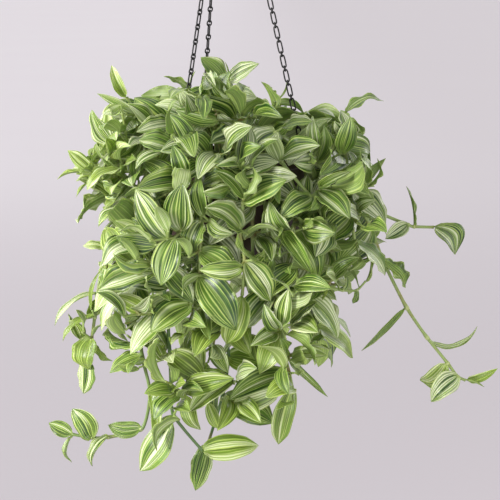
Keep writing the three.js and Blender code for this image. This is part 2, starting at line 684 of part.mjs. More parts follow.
function placeFixedPieces() {
  const ring = (profile, sides) => {
    for (let i = 0; i < sides; i += 1) {
      const from = (360 * i) / sides;
      const to = (360 * (i + 1)) / sides;
      for (let k = 1; k < profile.length; k += 1) {
        const [lowRadius, low] = profile[k - 1];
        const [highRadius, high] = profile[k];
        const a = polar(from, lowRadius, low);
        const b = polar(to, lowRadius, low);
        const c = polar(to, highRadius, high);
        const d = polar(from, highRadius, high);
        addSheet([[a, b, c], [a, c, d]], 1, 'pot');
      }
    }
  };
  ring([[0, -POT_DEPTH], ...WALL, [POT_RADIUS + BAND_PROUD + 1, -BAND_HEIGHT],
    [POT_RADIUS + BAND_PROUD + 1, 0], [POT_RADIUS - POT_WALL, 0],
    [POT_RADIUS - POT_WALL, -SOIL_EDGE_DROP]], POT_SIDES);
  ring([[POT_RADIUS - POT_WALL, -SOIL_EDGE_DROP], [60, -SOIL_DROP - 2], [0, -SOIL_DROP]], 12);
  for (const name of Object.keys(CHAIN_ANGLES)) {
    const { top, foot, along } = chainLine(name);
    const outward = radialAcross(name, along);
    const corners = rimLoopOutline().map(([out, up]) => {
      return foot.clone().addScaledVector(outward, out).addScaledVector(along, up);
    });
    corners.forEach((corner, i) => {
      addRod(corner, corners[(i + 1) % corners.length], 1.3 * LOOP_WIRE, name);
    });
    const neck = foot.clone().addScaledVector(along, LOOP_LENGTH);
    addRod(neck, top, LONG_LINK.halfWidth + 1.2 * LINK_WIRE, name);
  }
}

// A stem: an upright foot in the soil, leafless points up to the first joint, then the joints

function stemHalf(share) {
  return THREE.MathUtils.lerp(STEM_HALF, STEM_TIP_HALF, share);
}

function outwardAt(point) {
  const outward = new THREE.Vector3(point.x, point.y, 0).normalize();
  return outward.multiplyScalar(LIGHT_OUT).addScaledVector(UP, LIGHT_UP);
}

function stemFrames(stem) {
  const start = stem.foot.clone().setZ(-ROOT_DEPTH);
  const collar = stem.foot.clone().setZ(-ROOT_COLLAR);
  const path = [start, collar, ...stem.lead, ...stem.joints];
  const frames = [];
  const radialFoot = stem.foot.clone().setZ(0).normalize();
  path.forEach((point, i) => {
    const before = path[Math.max(i - 1, 0)];
    const after = path[Math.min(i + 1, path.length - 1)];
    const along = after.clone().sub(before).normalize();
    if (i <= 1) along.copy(UP);
    const normal = i <= 1 ? radialFoot.clone() : outwardAt(point);
    normal.addScaledVector(along, -normal.dot(along)).normalize();
    const side = along.clone().cross(normal);
    const half = stemHalf(i / (path.length - 1));
    frames.push({ point, along, normal, side, half, joint: i - 2 - stem.lead.length });
  });
  return frames;
}

function stemRing(frame, shift) {
  const centre = frame.point.clone().addScaledVector(frame.along, shift);
  return [[1, 1], [-1, 1], [-1, -1], [1, -1]].map(([n, s]) => {
    const corner = centre.clone().addScaledVector(frame.normal, n * frame.half);
    return corner.addScaledVector(frame.side, s * frame.half);
  });
}

// The faces of a stem's joint in the order of its ring's edges
function jointFaces(frame) {
  return [
    frame.side.clone(),
    frame.normal.clone().negate(),
    frame.side.clone().negate(),
    frame.normal.clone(),
  ];
}

class Skin {
  constructor() {
    this.points = [];
    this.faces = [];
  }

  add(point) {
    this.points.push(point.x, point.y, point.z);
    return this.points.length / 3 - 1;
  }

  addRing(ring) {
    return ring.map((point) => this.add(point));
  }

  quad(a, b, c, d) {
    this.faces.push(a, b, c, a, c, d);
  }

  geometry() {
    const geometry = new THREE.BufferGeometry();
    geometry.setAttribute('position', new THREE.Float32BufferAttribute(this.points, 3));
    geometry.setIndex(this.faces);
    return geometry;
  }
}

function pointAt(skin, index) {
  return new THREE.Vector3().fromArray(skin.points, 3 * index);
}

// A blade grows from four corners of its stem, given anticlockwise as seen from its tip
function growBlade(skin, corners, leaf) {
  const rings = BLADE_STATIONS.map((share) => {
    const { top, plus, bottom, minus } = bladeSection(leaf, share);
    return skin.addRing([top, plus, bottom, minus]);
  });
  const centre = bladeSection(leaf, BLADE_STATIONS[0]).middle;
  const fit = (shift) => corners.reduce((sum, corner, i) => {
    const edge = pointAt(skin, corner).add(pointAt(skin, corners[(i + 1) % 4]));
    edge.multiplyScalar(0.5).sub(leaf.base);
    return sum + edge.dot(pointAt(skin, rings[0][(i + shift) % 4]).sub(centre).normalize());
  }, 0);
  const shift = [0, 1, 2, 3].reduce((best, next) => (fit(next) > fit(best) ? next : best));
  corners.forEach((corner, i) => {
    const next = corners[(i + 1) % 4];
    const here = rings[0][(i + shift) % 4];
    const there = rings[0][(i + shift + 1) % 4];
    skin.faces.push(corner, next, here, next, there, here);
  });
  for (let k = 1; k < rings.length; k += 1) {
    const [top, plus, bottom, minus] = rings[k - 1];
    const [topNext, plusNext, bottomNext, minusNext] = rings[k];
    skin.faces.push(top, plus, topNext, plus, plusNext, topNext);
    skin.faces.push(plus, bottom, bottomNext, plus, bottomNext, plusNext);
    skin.faces.push(bottom, minus, bottomNext, minus, minusNext, bottomNext);
    skin.faces.push(minus, top, topNext, minus, topNext, minusNext);
  }
  const tip = skin.add(bladeTip(leaf));
  const last = rings[rings.length - 1];
  last.forEach((corner, i) => skin.faces.push(corner, last[(i + 1) % 4], tip));
}

function startDirection(leaf) {
  return bladeSection(leaf, BASE_STATION).middle.sub(leaf.base).normalize();
}

function bestFace(frame, leaf) {
  const start = startDirection(leaf);
  const dots = jointFaces(frame).map((face) => face.dot(start));
  const best = dots.indexOf(Math.max(...dots));
  return dots[best] > SIDE_GRIP ? best : -1;
}

// Chooses each leaf of a stem so that it is clear of everything placed before it
function settleLeaves(stem, frames) {
  const jointFrames = frames.filter((frame) => frame.joint >= 0);
  stem.grown = jointFrames.map((frame, i) => {
    const ends = i === jointFrames.length - 1;
    for (const attempt of LEAF_TRIES) {
      const leaf = tried(stem.leaves[i], attempt);
      const face = ends ? 0 : bestFace(frame, leaf);
      if (face < 0) continue;
      if (ends && frame.along.dot(startDirection(leaf)) < END_GRIP) continue;
      const skinTriangles = bladeSkin(leaf);
      const nearBase = skinTriangles.slice(0, 2);
      const rest = skinTriangles.slice(2);
      if (!sheetIsClear(nearBase, BLADE_THICK, stem.name, true)) continue;
      if (!sheetIsClear(rest, BLADE_THICK, stem.name, false)) continue;
      addSheet(skinTriangles, BLADE_THICK, stem.name);
      return { leaf, face };
    }
    return null;
  });
}

function growStem(stem, frames) {
  const skin = new Skin();
  const rings = [];
  frames.forEach((frame) => {
    if (frame.joint < 0) {
      rings.push({ corners: skin.addRing(stemRing(frame, 0)) });
      return;
    }
    const ends = frame.joint === stem.joints.length - 1;
    const grown = stem.grown[frame.joint];
    rings.push({ corners: skin.addRing(stemRing(frame, -COLLAR / 2)), grown: ends ? null : grown });
    if (!ends) rings.push({ corners: skin.addRing(stemRing(frame, COLLAR / 2)) });
  });
  const first = rings[0].corners;
  skin.quad(first[3], first[2], first[1], first[0]);
  for (let k = 1; k < rings.length; k += 1) {
    const low = rings[k - 1];
    const high = rings[k];
    for (let i = 0; i < 4; i += 1) {
      const j = (i + 1) % 4;
      const corners = [low.corners[i], low.corners[j], high.corners[j], high.corners[i]];
      if (low.grown && low.grown.face === i) growBlade(skin, corners, low.grown.leaf);
      else skin.quad(...corners);
    }
  }
  const last = rings[rings.length - 1].corners;
  const ending = stem.grown[stem.joints.length - 1];
  if (ending) growBlade(skin, last, ending.leaf);
  else skin.quad(...last);
  return skin.geometry();
}

// Stems seen in the picture

function leadPoints(angle, foot, crest, first) {
  const rise = polar(angle, foot + 6, crest * 0.75);
  const reach = Math.hypot(first.x, first.y);
  if (reach < POT_RADIUS) return [rise.lerp(first, 0.3).setZ(crest * 0.6)];
  const over = first.clone().setZ(0).normalize().multiplyScalar(POT_RADIUS + 2);
  return [rise, over.setZ(Math.max(crest, 14))];
}

function seenStem([name, form], index) {
  const draw = draws(index + 11);
  const foot = polar(form.angle, form.foot, 0);
  const joints = form.joints.map(seen);
  const hanging = (form.lead ?? []).map(seen);
  const lead = leadPoints(form.angle, form.foot, form.crest, [...hanging, ...joints][0]);
  lead.push(...hanging);
  const leaves = form.tips.map((spot, i) => {
    const tip = seen(spot);
    const chord = tip.clone().sub(joints[i]);
    const length = chord.length();
    chord.normalize();
    const middle = tip.clone().add(joints[i]).multiplyScalar(0.5);
    const roll = (draw() - 0.5) * 0.5;
    const bend = 0.5 + draw() * 0.6;
    const twist = (draw() - 0.5) * 0.7;
    const [width, facing] = spot.slice(3);
    const normal = leafNormal(chord, middle, roll, facing);
    return { base: joints[i], chord, normal, length, width, bend, twist };
  });
  return { name: `leafy_stem_${name}`, foot, lead, joints, leaves };
}

// Stems by rule

function ruleStem(name, row, index, seed) {
  const draw = draws(seed);
  const angle = row.angles[index];
  const lean = (draw() - 0.5) * 24;
  const crest = row.crest * (0.85 + 0.3 * draw());
  const reach = row.reach * (0.93 + 0.14 * draw());
  const depth = row.depth * (0.85 + 0.3 * draw());
  const foot = polar(angle, row.foot, 0);
  let points;
  if (depth < 0) {
    points = [
      polar(angle, row.foot + 14, crest * 0.5),
      polar(angle + lean, THREE.MathUtils.lerp(row.foot, reach, 0.6), crest * 1.1),
      polar(angle + lean * 1.5, reach, -depth * 1.4),
    ];
  } else {
    points = [
      polar(angle, row.foot + 8, crest * 0.7),
      polar(angle + lean * 0.2, POT_RADIUS + 2, Math.max(crest, 16)),
      polar(angle + lean * 0.4, reach * 0.93, Math.max(crest * 0.2, 2)),
      polar(angle + lean * 0.6, reach, -0.2 * depth - 20),
      polar(angle + lean * 0.8, reach * 0.97, -0.6 * depth - 10),
      polar(angle + lean, reach * 0.86, -depth),
    ];
  }
  const curve = new THREE.CatmullRomCurve3([foot.clone().setZ(-ROOT_COLLAR), ...points]);
  const length = curve.getLength();
  const spacing = depth < 0 ? CROWN_INTERNODE : INTERNODE;
  const bare = depth < 0 ? 34 : row.crest + POT_RADIUS - row.foot + 14;
  const lead = depth < 0 ? [] : [points[0], points[1]];
  const joints = [];
  for (let at = bare; at < length; at += spacing * (0.88 + 0.24 * draw())) {
    joints.push(curve.getPointAt(at / length));
  }
  const leaves = joints.map((base, i) => {
    const before = joints[Math.max(i - 1, 0)];
    const after = joints[Math.min(i + 1, joints.length - 1)];
    const along = after.clone().sub(before).normalize();
    const outward = outwardAt(base);
    const face = outward.clone().addScaledVector(along, -outward.dot(along)).normalize();
    const side = along.clone().cross(face).multiplyScalar(i % 2 === 0 ? 1 : -1);
    const ends = i === joints.length - 1;
    const chord = side.multiplyScalar(ends ? 0.2 : 0.8 + 0.3 * draw());
    chord.addScaledVector(along, ends ? 1 : 0.35 + 0.3 * draw());
    chord.addScaledVector(face, 0.2 + 0.4 * draw()).normalize();
    const young = 1 - 0.35 * (i / joints.length) ** 3;
    const size = LEAF_LENGTH * young * (0.85 + 0.35 * draw());
    const middle = base.clone().addScaledVector(chord, size / 2);
    const normal = leafNormal(chord, middle, (draw() - 0.5) * 0.6);
    const width = size * LEAF_WIDTH_SHARE * (0.92 + 0.18 * draw());
    const bend = 0.6 + draw() * 0.7;
    const twist = (draw() - 0.5) * 0.8;
    return { base, chord, normal, length: size, width, bend, twist };
  });
  return { name: `leafy_stem_${name}_${index + 1}`, foot, lead, joints, leaves };
}

function planStems() {
  const stems = Object.entries(SEEN_STEMS).map(seenStem);
  Object.entries(STEM_ROWS).forEach(([name, row], rowIndex) => {
    row.angles.forEach((_, i) => stems.push(ruleStem(name, row, i, 100 * (rowIndex + 1) + i)));
  });
  return stems;
}

function placeStems(stems) {
  for (const stem of stems) {
    stem.frames = stemFrames(stem);
    for (let i = 1; i < stem.frames.length; i += 1) {
      const { point, half } = stem.frames[i - 1];
      const radius = half * Math.SQRT2;
      const next = stem.frames[i].point;
      const start = i === 1 ? next : point;
      if (i > 1 && !rodIsClear(start, next, radius)) {
        throw new Error(`${stem.name}: stretch ${i} is close to another piece`);
      }
    }
    for (let i = 1; i < stem.frames.length; i += 1) {
      const { point, half } = stem.frames[i - 1];
      addRod(point, stem.frames[i].point, half * Math.SQRT2, stem.name);
    }
  }
  stems.forEach((stem) => settleLeaves(stem, stem.frames));
}

// The whole object

const model = new THREE.Group();
const group = new THREE.Group();
group.position.z = -RIM_DROP;
model.add(group);

placeFixedPieces();
const stems = planStems();
placeStems(stems);

group.add(makeHook());
Object.keys(CHAIN_ANGLES).forEach((name) => group.add(makeChain(name)));
group.add(makePot());
group.add(makeSoil(stems));
for (const stem of stems) {
  group.add(namedMesh(stem.name, growStem(stem, stem.frames), material(0x829350, 0.4)));
}

export default model;
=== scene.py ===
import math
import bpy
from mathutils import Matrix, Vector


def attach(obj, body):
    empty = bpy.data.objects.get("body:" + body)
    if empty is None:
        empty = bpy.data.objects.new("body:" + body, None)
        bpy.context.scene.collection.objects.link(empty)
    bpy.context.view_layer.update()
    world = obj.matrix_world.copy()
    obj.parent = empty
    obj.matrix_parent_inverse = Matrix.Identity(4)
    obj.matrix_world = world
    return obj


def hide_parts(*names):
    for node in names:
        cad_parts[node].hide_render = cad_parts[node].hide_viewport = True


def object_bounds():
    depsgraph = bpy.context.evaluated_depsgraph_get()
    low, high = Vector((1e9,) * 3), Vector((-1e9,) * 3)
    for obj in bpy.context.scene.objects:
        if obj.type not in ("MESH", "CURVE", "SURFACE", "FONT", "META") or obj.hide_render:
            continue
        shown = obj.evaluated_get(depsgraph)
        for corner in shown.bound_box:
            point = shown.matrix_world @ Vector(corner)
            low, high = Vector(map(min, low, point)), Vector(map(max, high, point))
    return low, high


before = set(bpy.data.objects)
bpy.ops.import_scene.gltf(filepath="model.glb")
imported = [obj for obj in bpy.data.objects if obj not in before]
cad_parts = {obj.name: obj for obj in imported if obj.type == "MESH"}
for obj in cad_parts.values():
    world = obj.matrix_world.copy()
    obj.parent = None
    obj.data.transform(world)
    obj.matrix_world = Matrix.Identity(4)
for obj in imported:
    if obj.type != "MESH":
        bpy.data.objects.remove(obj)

# Looks of the hanging potted tradescantia: its leaves, stems, pot, soil, chains and hook.
# Lengths are in millimetres from the middle of the pot's rim, as in the part's source, and
# are turned into metres from the hook's bearing point where a mesh is made.

from types import SimpleNamespace

import bpy
import numpy as np
from mathutils import Matrix, Vector, noise
from mathutils.bvhtree import BVHTree

CAD_LOW, CAD_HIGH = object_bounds()

# Sizes that the part's source has too

RIM_DROP = 570
GAP = 0.3
POT_RADIUS = 122
POT_DEPTH = 165
POT_WALL = 2.6
BAND_HEIGHT = 12
DRAIN_HOLES = 4
DRAIN_RADIUS = 5
DRAIN_CIRCLE = 44
SOIL_DROP = 18
SOIL_EDGE_DROP = 26
ROOT_DEPTH = 43
ROOT_COLLAR = 12
CHAIN_ANGLES = {"chain_right": -8, "chain_front_left": -128, "chain_back_left": 112}
CHAIN_PAIRS = 21
LONG_HALF_WIDTH = 3.2
SHORT_LINK = (3.9, 3.4)
END_LINK = (6.6, 6)
LINK_OVERLAP = 2.1
LINK_WIRE = 1.15
END_WIRE = LINK_WIRE + 0.1
SLOT_WIDTH = 6
SLOT_HEIGHT = 7
SLOT_TOP = -BAND_HEIGHT - 2
LOOP_HALF_WIDTH = 12
LOOP_LENGTH = 38
LOOP_WIRE = 1.3
LOOP_CLIMB = 0.4
EYE_RADIUS = 13
EYE_WIRE = 2.2
BEND_RADIUS = 16
APEX_HEIGHT = 487
EYE_SEATS = {"chain_right": 28, "chain_front_left": 0, "chain_back_left": -28}
STEM_RADIUS = 3.1
STEM_TIP_RADIUS = 2.2
SHOOT_RADIUS = 2.1
SHOOT_TIP_RADIUS = 1.5
LIGHT_OUT = 0.85                  # leaves face outward by this much and up by LIGHT_UP
LIGHT_UP = 0.7
INTERNODE = 38
CROWN_INTERNODE = 27
LEAF_LENGTH = 84
LEAF_WIDTH_SHARE = 0.5

# The picture's viewpoint: where it aims and how wide a piece of that place it shows
VIEW_TILT = math.radians(10)
VIEW_DISTANCE = 2600
VIEW_AIM = np.array([34.0, 0.0, -147.0])
VIEW_WIDTH = 769.0

UP = np.array([0.0, 0.0, 1.0])
TO_VIEWER = np.array([0.0, -math.cos(VIEW_TILT), math.sin(VIEW_TILT)])

# Where each stream of draws starts
SEEN_SEED = 11
ROW_SEED = 100
LOOKS_SEED = 7000
SHOWN_SEED = 8000
SIDE_SEED = 20000
PIECE_SEED = 50000
CROWN_PIECE_SEED = 60000
CROWN_SEED = 90000
CRUMB_SEED = 777


# Vectors and angles

def unit(vector):
    return vector / np.linalg.norm(vector)


def level(point):
    """The part of a vector that lies flat."""
    return np.array([point[0], point[1], 0.0])


def full_turn(count):
    """As many angles, evenly apart, from 0 round."""
    return np.arange(count) * 2 * np.pi / count


def spun(vector, axis, angle):
    """The vector turned about a unit axis."""
    turned = vector * math.cos(angle) + np.cross(axis, vector) * math.sin(angle)
    return turned + axis * (axis @ vector) * (1 - math.cos(angle))


def radial(degrees):
    angle = math.radians(degrees)
    return np.array([math.cos(angle), math.sin(angle), 0.0])


def polar(degrees, radius, height):
    return radial(degrees) * radius + UP * height


def lerp(low, high, share):
    return low + (high - low) * share


def rising(low, high, value):
    """0 below low, 1 above high and smooth between them."""
    share = np.clip((value - low) / (high - low), 0, 1)
    return share * share * (3 - 2 * share)


def in_metres(points):
    """Points in metres from the hook's bearing point, which is the frame's middle."""
    return (points - UP * RIM_DROP) / 1000


def shown(name, data):
    """A new object of the data, in the scene."""
    made = bpy.data.objects.new(name, data)
    bpy.context.collection.objects.link(made)
    return made


def draws(seed):
    """The same stream of draws as in the part's source."""
    mask = 0xFFFFFFFF
    state = (seed * 2654435761) & mask

    def draw():
        nonlocal state
        state = (state + 0x6D2B79F5) & mask
        mixed = ((state ^ (state >> 15)) * (1 | state)) & mask
        mixed = (mixed + (mixed ^ (mixed >> 7)) * (61 | mixed)) & mask ^ mixed
        return (mixed ^ (mixed >> 14)) / 4294967296

    return draw


def seen(spot):
    """The place of a spot in the picture: across, height and depth."""
    x, h, y = spot
    depth = VIEW_DISTANCE + y * math.cos(VIEW_TILT) - h * math.sin(VIEW_TILT)
    scale = depth / VIEW_DISTANCE
    right = VIEW_AIM[0] + (x - VIEW_AIM[0]) * scale
    raised = (h - VIEW_AIM[2] * math.cos(VIEW_TILT)) * scale
    height = VIEW_AIM[2] + (raised - y * math.sin(VIEW_TILT)) / math.cos(VIEW_TILT)
    return np.array([right, y, height])


def picture_spots(points):
    """Where points show in the picture: across and height, as in the tables."""
    offset = points - VIEW_AIM
    depth = VIEW_DISTANCE + offset[:, 1] * math.cos(VIEW_TILT) - offset[:, 2] * math.sin(VIEW_TILT)
    raised = offset[:, 2] * math.cos(VIEW_TILT) + offset[:, 1] * math.sin(VIEW_TILT)
    across = VIEW_AIM[0] + offset[:, 0] * VIEW_DISTANCE / depth
    return across, raised * VIEW_DISTANCE / depth + VIEW_AIM[2] * math.cos(VIEW_TILT)


# Stems as in the part's source

# A joint is across, height and depth. A leaf's tip too, then the leaf's width and, for some, how
# much it faces the viewer.
SEEN_STEMS = {
    "top_left": dict(
        angle=172, foot=72, crest=30,
        joints=[[-112, 38, 0], [-138, 62, -8], [-154, 88, -10]],
        tips=[[-150, 20, -70, 34], [-193, 104, -12, 14], [-182, 136, -15, 28, 1]],
    ),
    "left_upper": dict(
        angle=192, foot=84, crest=18,
        joints=[[-128, 8, -42], [-152, 10, -55], [-176, 18, -62]],
        tips=[[-128, -50, -95, 34], [-209, -16, -80, 32], [-205, 70, -60, 36]],
    ),
    "left_spray": dict(
        angle=205, foot=74, crest=16,
        joints=[[-138, -22, -68], [-166, -26, -84], [-202, -28, -90], [-221, -28, -94]],
        tips=[[-172, -92, -120, 38], [-229, -56, -112, 18], [-246, 4, -85, 20, 0.6],
              [-259, -37, -97, 14]],
    ),
    "left_hang": dict(
        angle=215, foot=94, crest=14,
        joints=[[-136, -52, -100], [-160, -86, -130], [-184, -112, -125], [-187, -142, -120],
                [-184, -172, -115]],
        tips=[[-108, -112, -160, 40], [-196, -110, -132, 30], [-150, -170, -150, 36],
              [-220, -140, -118, 18], [-172, -222, -120, 30]],
    ),
    "lower_left": dict(
        angle=185, foot=98, crest=14,
        joints=[[-152, -70, -20], [-172, -120, -60], [-190, -168, -70], [-198, -212, -80],
                [-202, -246, -85], [-207, -280, -85], [-212, -308, -90]],
        tips=[[-190, -86, -62, 34], [-128, -160, -110, 38], [-150, -232, -100, 38],
              [-264, -258, -95, 16], [-250, -284, -98, 16], [-221, -331, -100, 40, 0.9],
              [-220, -364, -80, 34, 0.8]],
    ),
    "bottom_left": dict(
        angle=224, foot=64, crest=22,
        joints=[[-120, -60, -122], [-130, -130, -150], [-132, -196, -160], [-134, -250, -152],
                [-130, -306, -145], [-118, -362, -142], [-130, -416, -138], [-180, -429, -135],
                [-206, -430, -132], [-236, -425, -130]],
        tips=[[-60, -95, -175, 42], [-192, -176, -170, 42], [-197, -268, -165, 42],
              [-84, -296, -160, 38], [-180, -330, -150, 30], [-114, -436, -166, 18],
              [-182, -411, -130, 26, 0.8], [-206, -474, -140, 22], [-236, -386, -128, 32, 0.8],
              [-272, -408, -126, 22, 0.5]],
    ),
    "bottom_middle": dict(
        angle=248, foot=92, crest=16,
        joints=[[-66, -40, -165], [-98, -168, -178], [-92, -236, -172], [-88, -300, -165],
                [-86, -352, -160], [-82, -396, -155], [-38, -450, -150]],
        tips=[[-150, -40, -175, 40], [-38, -212, -195, 40], [-150, -300, -180, 42],
              [-38, -344, -180, 42], [-118, -372, -168, 24], [-139, -484, -150, 47, 0.8],
              [48, -431, -152, 40]],
    ),
    "bottom_tip": dict(
        angle=267, foot=66, crest=20, lead=[[-8, -70, -158], [-8, -170, -148]],
        joints=[[-6, -250, -120], [2, -306, -115], [-2, -334, -113], [-8, -368, -110],
                [-30, -440, -105]],
        tips=[[50, -292, -150, 38], [74, -326, -140, 44], [-52, -372, -125, 36],
              [70, -408, -118, 46], [-50, -512, -100, 32]],
    ),
    "bottom_right": dict(
        angle=289, foot=84, crest=18, lead=[[56, -70, -160]],
        joints=[[64, -150, -165], [70, -206, -160], [78, -262, -155], [88, -308, -150],
                [94, -332, -147], [98, -352, -145]],
        tips=[[34, -212, -185, 38], [20, -262, -178, 42], [46, -332, -175, 38],
              [152, -368, -145, 16], [2, -373, -165, 36], [78, -442, -140, 34]],
    ),
    "right_low": dict(
        angle=308, foot=92, crest=16,
        joints=[[104, -60, -135], [100, -118, -160], [104, -170, -165], [112, -212, -158],
                [134, -262, -148]],
        tips=[[46, -112, -195, 42], [145, -192, -190, 46], [46, -222, -185, 42],
              [168, -278, -165, 46], [198, -302, -140, 40]],
    ),
    "right_trail": dict(
        angle=335, foot=78, crest=16,
        joints=[[160, -26, -80], [190, -56, -88], [218, -112, -80], [236, -160, -70],
                [271, -230, -62], [302, -276, -55], [334, -316, -52], [350, -337, -50],
                [362, -343, -49]],
        tips=[[128, -84, -125, 40], [240, -106, -100, 46, 0.6], [176, -170, -100, 38],
              [280, -198, -75, 30, 0.8], [205, -300, -80, 13], [380, -261, -45, 14],
              [288, -350, -30, 30, 1.2], [302, -370, -74, 34, 1.4], [411, -325, -40, 15, 0.5]],
    ),
    "right_spray": dict(
        angle=0, foot=96, crest=14,
        joints=[[162, -10, 0], [194, -52, -24], [228, -86, -34], [274, -106, -33],
                [283, -109, -33], [314, -110, -34]],
        tips=[[214, 6, -40, 34], [240, -4, -20, 15], [196, -118, -70, 38],
              [240, -128, -50, 22, 0.4], [272, -48, -22, 14], [346, -152, -50, 42, 1.6]],
    ),
    "right_upper": dict(
        angle=12, foot=76, crest=26,
        joints=[[130, 18, 22], [156, 22, 0], [172, 40, -20], [180, 63, -20]],
        tips=[[120, 64, -40, 30], [186, -22, -62, 30], [137, 72, -40, 26], [240, 90, -18, 28]],
    ),
    "top_middle": dict(
        angle=150, foot=28, crest=24,
        joints=[[-18, 46, 14], [-14, 82, 12], [-5, 114, 8]],
        tips=[[-66, 64, 0, 34], [5, 60, -30, 24], [-39, 151, 6, 30, 1]],
    ),
    "top_leaf": dict(
        angle=60, foot=26, crest=24,
        joints=[[16, 50, 14], [2, 113, 26]],
        tips=[[62, 70, -10, 30], [48, 139, 10, 34, 1]],
    ),
    "top_behind": dict(
        angle=158, foot=62, crest=26,
        joints=[[-66, 44, 42], [-66, 78, 44], [-58, 100, 44]],
        tips=[[-116, 66, 30, 32], [-90, 64, 16, 28], [-99, 117, 44, 24]],
    ),
    "top_right": dict(
        angle=42, foot=64, crest=24,
        joints=[[58, 46, 50], [70, 74, 54], [78, 86, 54]],
        tips=[[14, 74, 34, 32], [119, 66, 48, 30], [56, 97, 66, 16]],
    ),
    "front_left": dict(
        angle=241, foot=50, crest=34,
        joints=[[-80, 10, -146], [-84, -58, -182], [-70, -114, -196], [-80, -126, -196],
                [-104, -176, -188]],
        tips=[[-136, 26, -150, 36], [-28, -62, -205, 42], [-74, -42, -222, 46],
              [-106, -198, -226, 40], [-197, -206, -186, 46]],
    ),
    "front_middle_left": dict(
        angle=259, foot=98, crest=16,
        joints=[[-30, 0, -155], [-42, -50, -178], [-40, -100, -192], [-42, -146, -196],
                [-44, -184, -192], [-56, -228, -186]],
        tips=[[-62, 34, -180, 36], [6, -34, -200, 44], [-78, -140, -206, 36],
              [14, -186, -212, 42], [20, -262, -212, 52], [-123, -260, -196, 48]],
    ),
    "front_middle": dict(
        angle=276, foot=84, crest=26,
        joints=[[14, 26, -140], [26, -26, -172], [24, -72, -192], [18, -114, -204],
                [26, -162, -200], [22, -214, -190]],
        tips=[[-24, 14, -178, 38], [78, -10, -195, 38], [88, -32, -222, 44],
              [-32, -74, -232, 46], [74, -222, -200, 40], [4, -296, -192, 40]],
    ),
    "front_right": dict(
        angle=299, foot=48, crest=36,
        joints=[[72, 34, -126], [80, -8, -158], [126, -64, -168], [150, -104, -160]],
        tips=[[34, 0, -176, 42], [140, 12, -185, 42], [82, -92, -215, 36],
              [146, -160, -180, 40]],
    ),
    "right_front": dict(
        angle=319, foot=96, crest=16,
        joints=[[134, -12, -120], [164, -48, -128], [186, -92, -128], [194, -134, -124]],
        tips=[[154, 44, -130, 36], [128, -74, -170, 38], [142, -132, -160, 42],
              [238, -186, -112, 34]],
    ),
}

# Rows of stems that a rule grows: a row with a depth below zero stays above the pot
STEM_ROWS = {
    "crown": dict(angles=[20, 105, 205, 290], foot=36, crest=38, reach=112, depth=-32),
    "back_long": dict(
        angles=[30, 50, 77, 102, 127, 154], foot=92, crest=16, reach=172, depth=284,
    ),
    "back_short": dict(angles=[35, 62, 90, 116, 145], foot=64, crest=32, reach=208, depth=150),
    "under_front": dict(angles=[256, 283, 326, 343], foot=68, crest=20, reach=150, depth=262),
}

# Turn, lift and scale of a leaf that were tried in turn until it was clear of its neighbours
LEAF_TRIES = [
    [0, 0, 1], [12, 0, 1], [-12, 0, 1], [0, 14, 1], [0, -14, 1], [16, 16, 0.96],
    [-16, 16, 0.96], [16, -16, 0.96], [-16, -16, 0.96], [30, 0, 0.92], [-30, 0, 0.92],
    [0, 32, 0.9], [0, -32, 0.9], [34, 24, 0.84], [-34, 24, 0.84], [34, -24, 0.84],
    [-34, -24, 0.84], [55, 0, 0.78], [-55, 0, 0.78], [0, 55, 0.72], [0, -50, 0.72],
    [0, 14, 0.6], [25, 14, 0.6], [-25, 14, 0.6],
]
TIP_REACH = 0.05                  # a leaf is the one in the model if its tip is this near


def leaf_normal(chord, middle, roll, facing=0.0):
    """The way a leaf's face looks: to the light, outward and up, and some of it to the viewer."""
    outward = level(middle)
    reach = max(np.linalg.norm(outward), 1)
    light = outward * (min(reach / POT_RADIUS, 1) / reach) * LIGHT_OUT + UP * LIGHT_UP
    light = light + TO_VIEWER * facing
    normal = light - chord * (light @ chord)
    if np.linalg.norm(normal) < 0.2:
        side = np.array([-chord[1], chord[0], 0.0])
        if np.linalg.norm(side) < 0.1:
            side = np.array([1.0, 0.0, 0.0])
        normal = normal + unit(side) * 0.5
    return spun(unit(normal), chord, roll)


def leaf_to(base, tip, width, roll, bend, twist, facing=0.0):
    """A leaf from its base to its tip."""
    length = np.linalg.norm(tip - base)
    chord = (tip - base) / length
    normal = leaf_normal(chord, (tip + base) / 2, roll, facing)
    return SimpleNamespace(base=base, chord=chord, normal=normal, length=length, width=width,
                           bend=bend, twist=twist)


def leaf_along(base, chord, length, roll, width, bend, twist):
    """A leaf from its base in the direction of chord."""
    normal = leaf_normal(chord, base + chord * length / 2, roll)
    return SimpleNamespace(base=base, chord=chord, normal=normal, length=length, width=width,
                           bend=bend, twist=twist)


def altered(leaf, **changes):
    return SimpleNamespace(**{**vars(leaf), **changes})


def tried(leaf, attempt):
    """The leaf turned, lifted and scaled about its base."""
    turn, lift, scale = attempt
    across = np.cross(leaf.chord, leaf.normal)
    chord = spun(leaf.chord, across, math.radians(lift))
    normal = spun(leaf.normal, across, math.radians(lift))
    chord = spun(chord, normal, math.radians(turn))
    length, width = leaf.length * scale, leaf.width * scale
    return altered(leaf, chord=chord, normal=normal, length=length, width=width)


def outward_at(point):
    return unit(level(point)) * LIGHT_OUT + UP * LIGHT_UP


def lead_points(angle, foot, crest, first):
    """Where a stem passes between its foot and the first point it is seen at."""
    rise = polar(angle, foot + 6, crest * 0.75)
    if math.hypot(first[0], first[1]) < POT_RADIUS:
        point = lerp(rise, first, 0.3)
        point[2] = crest * 0.6
        return [point]
    over = unit(level(first)) * (POT_RADIUS + 2)
    over[2] = max(crest, 14)
    return [rise, over]


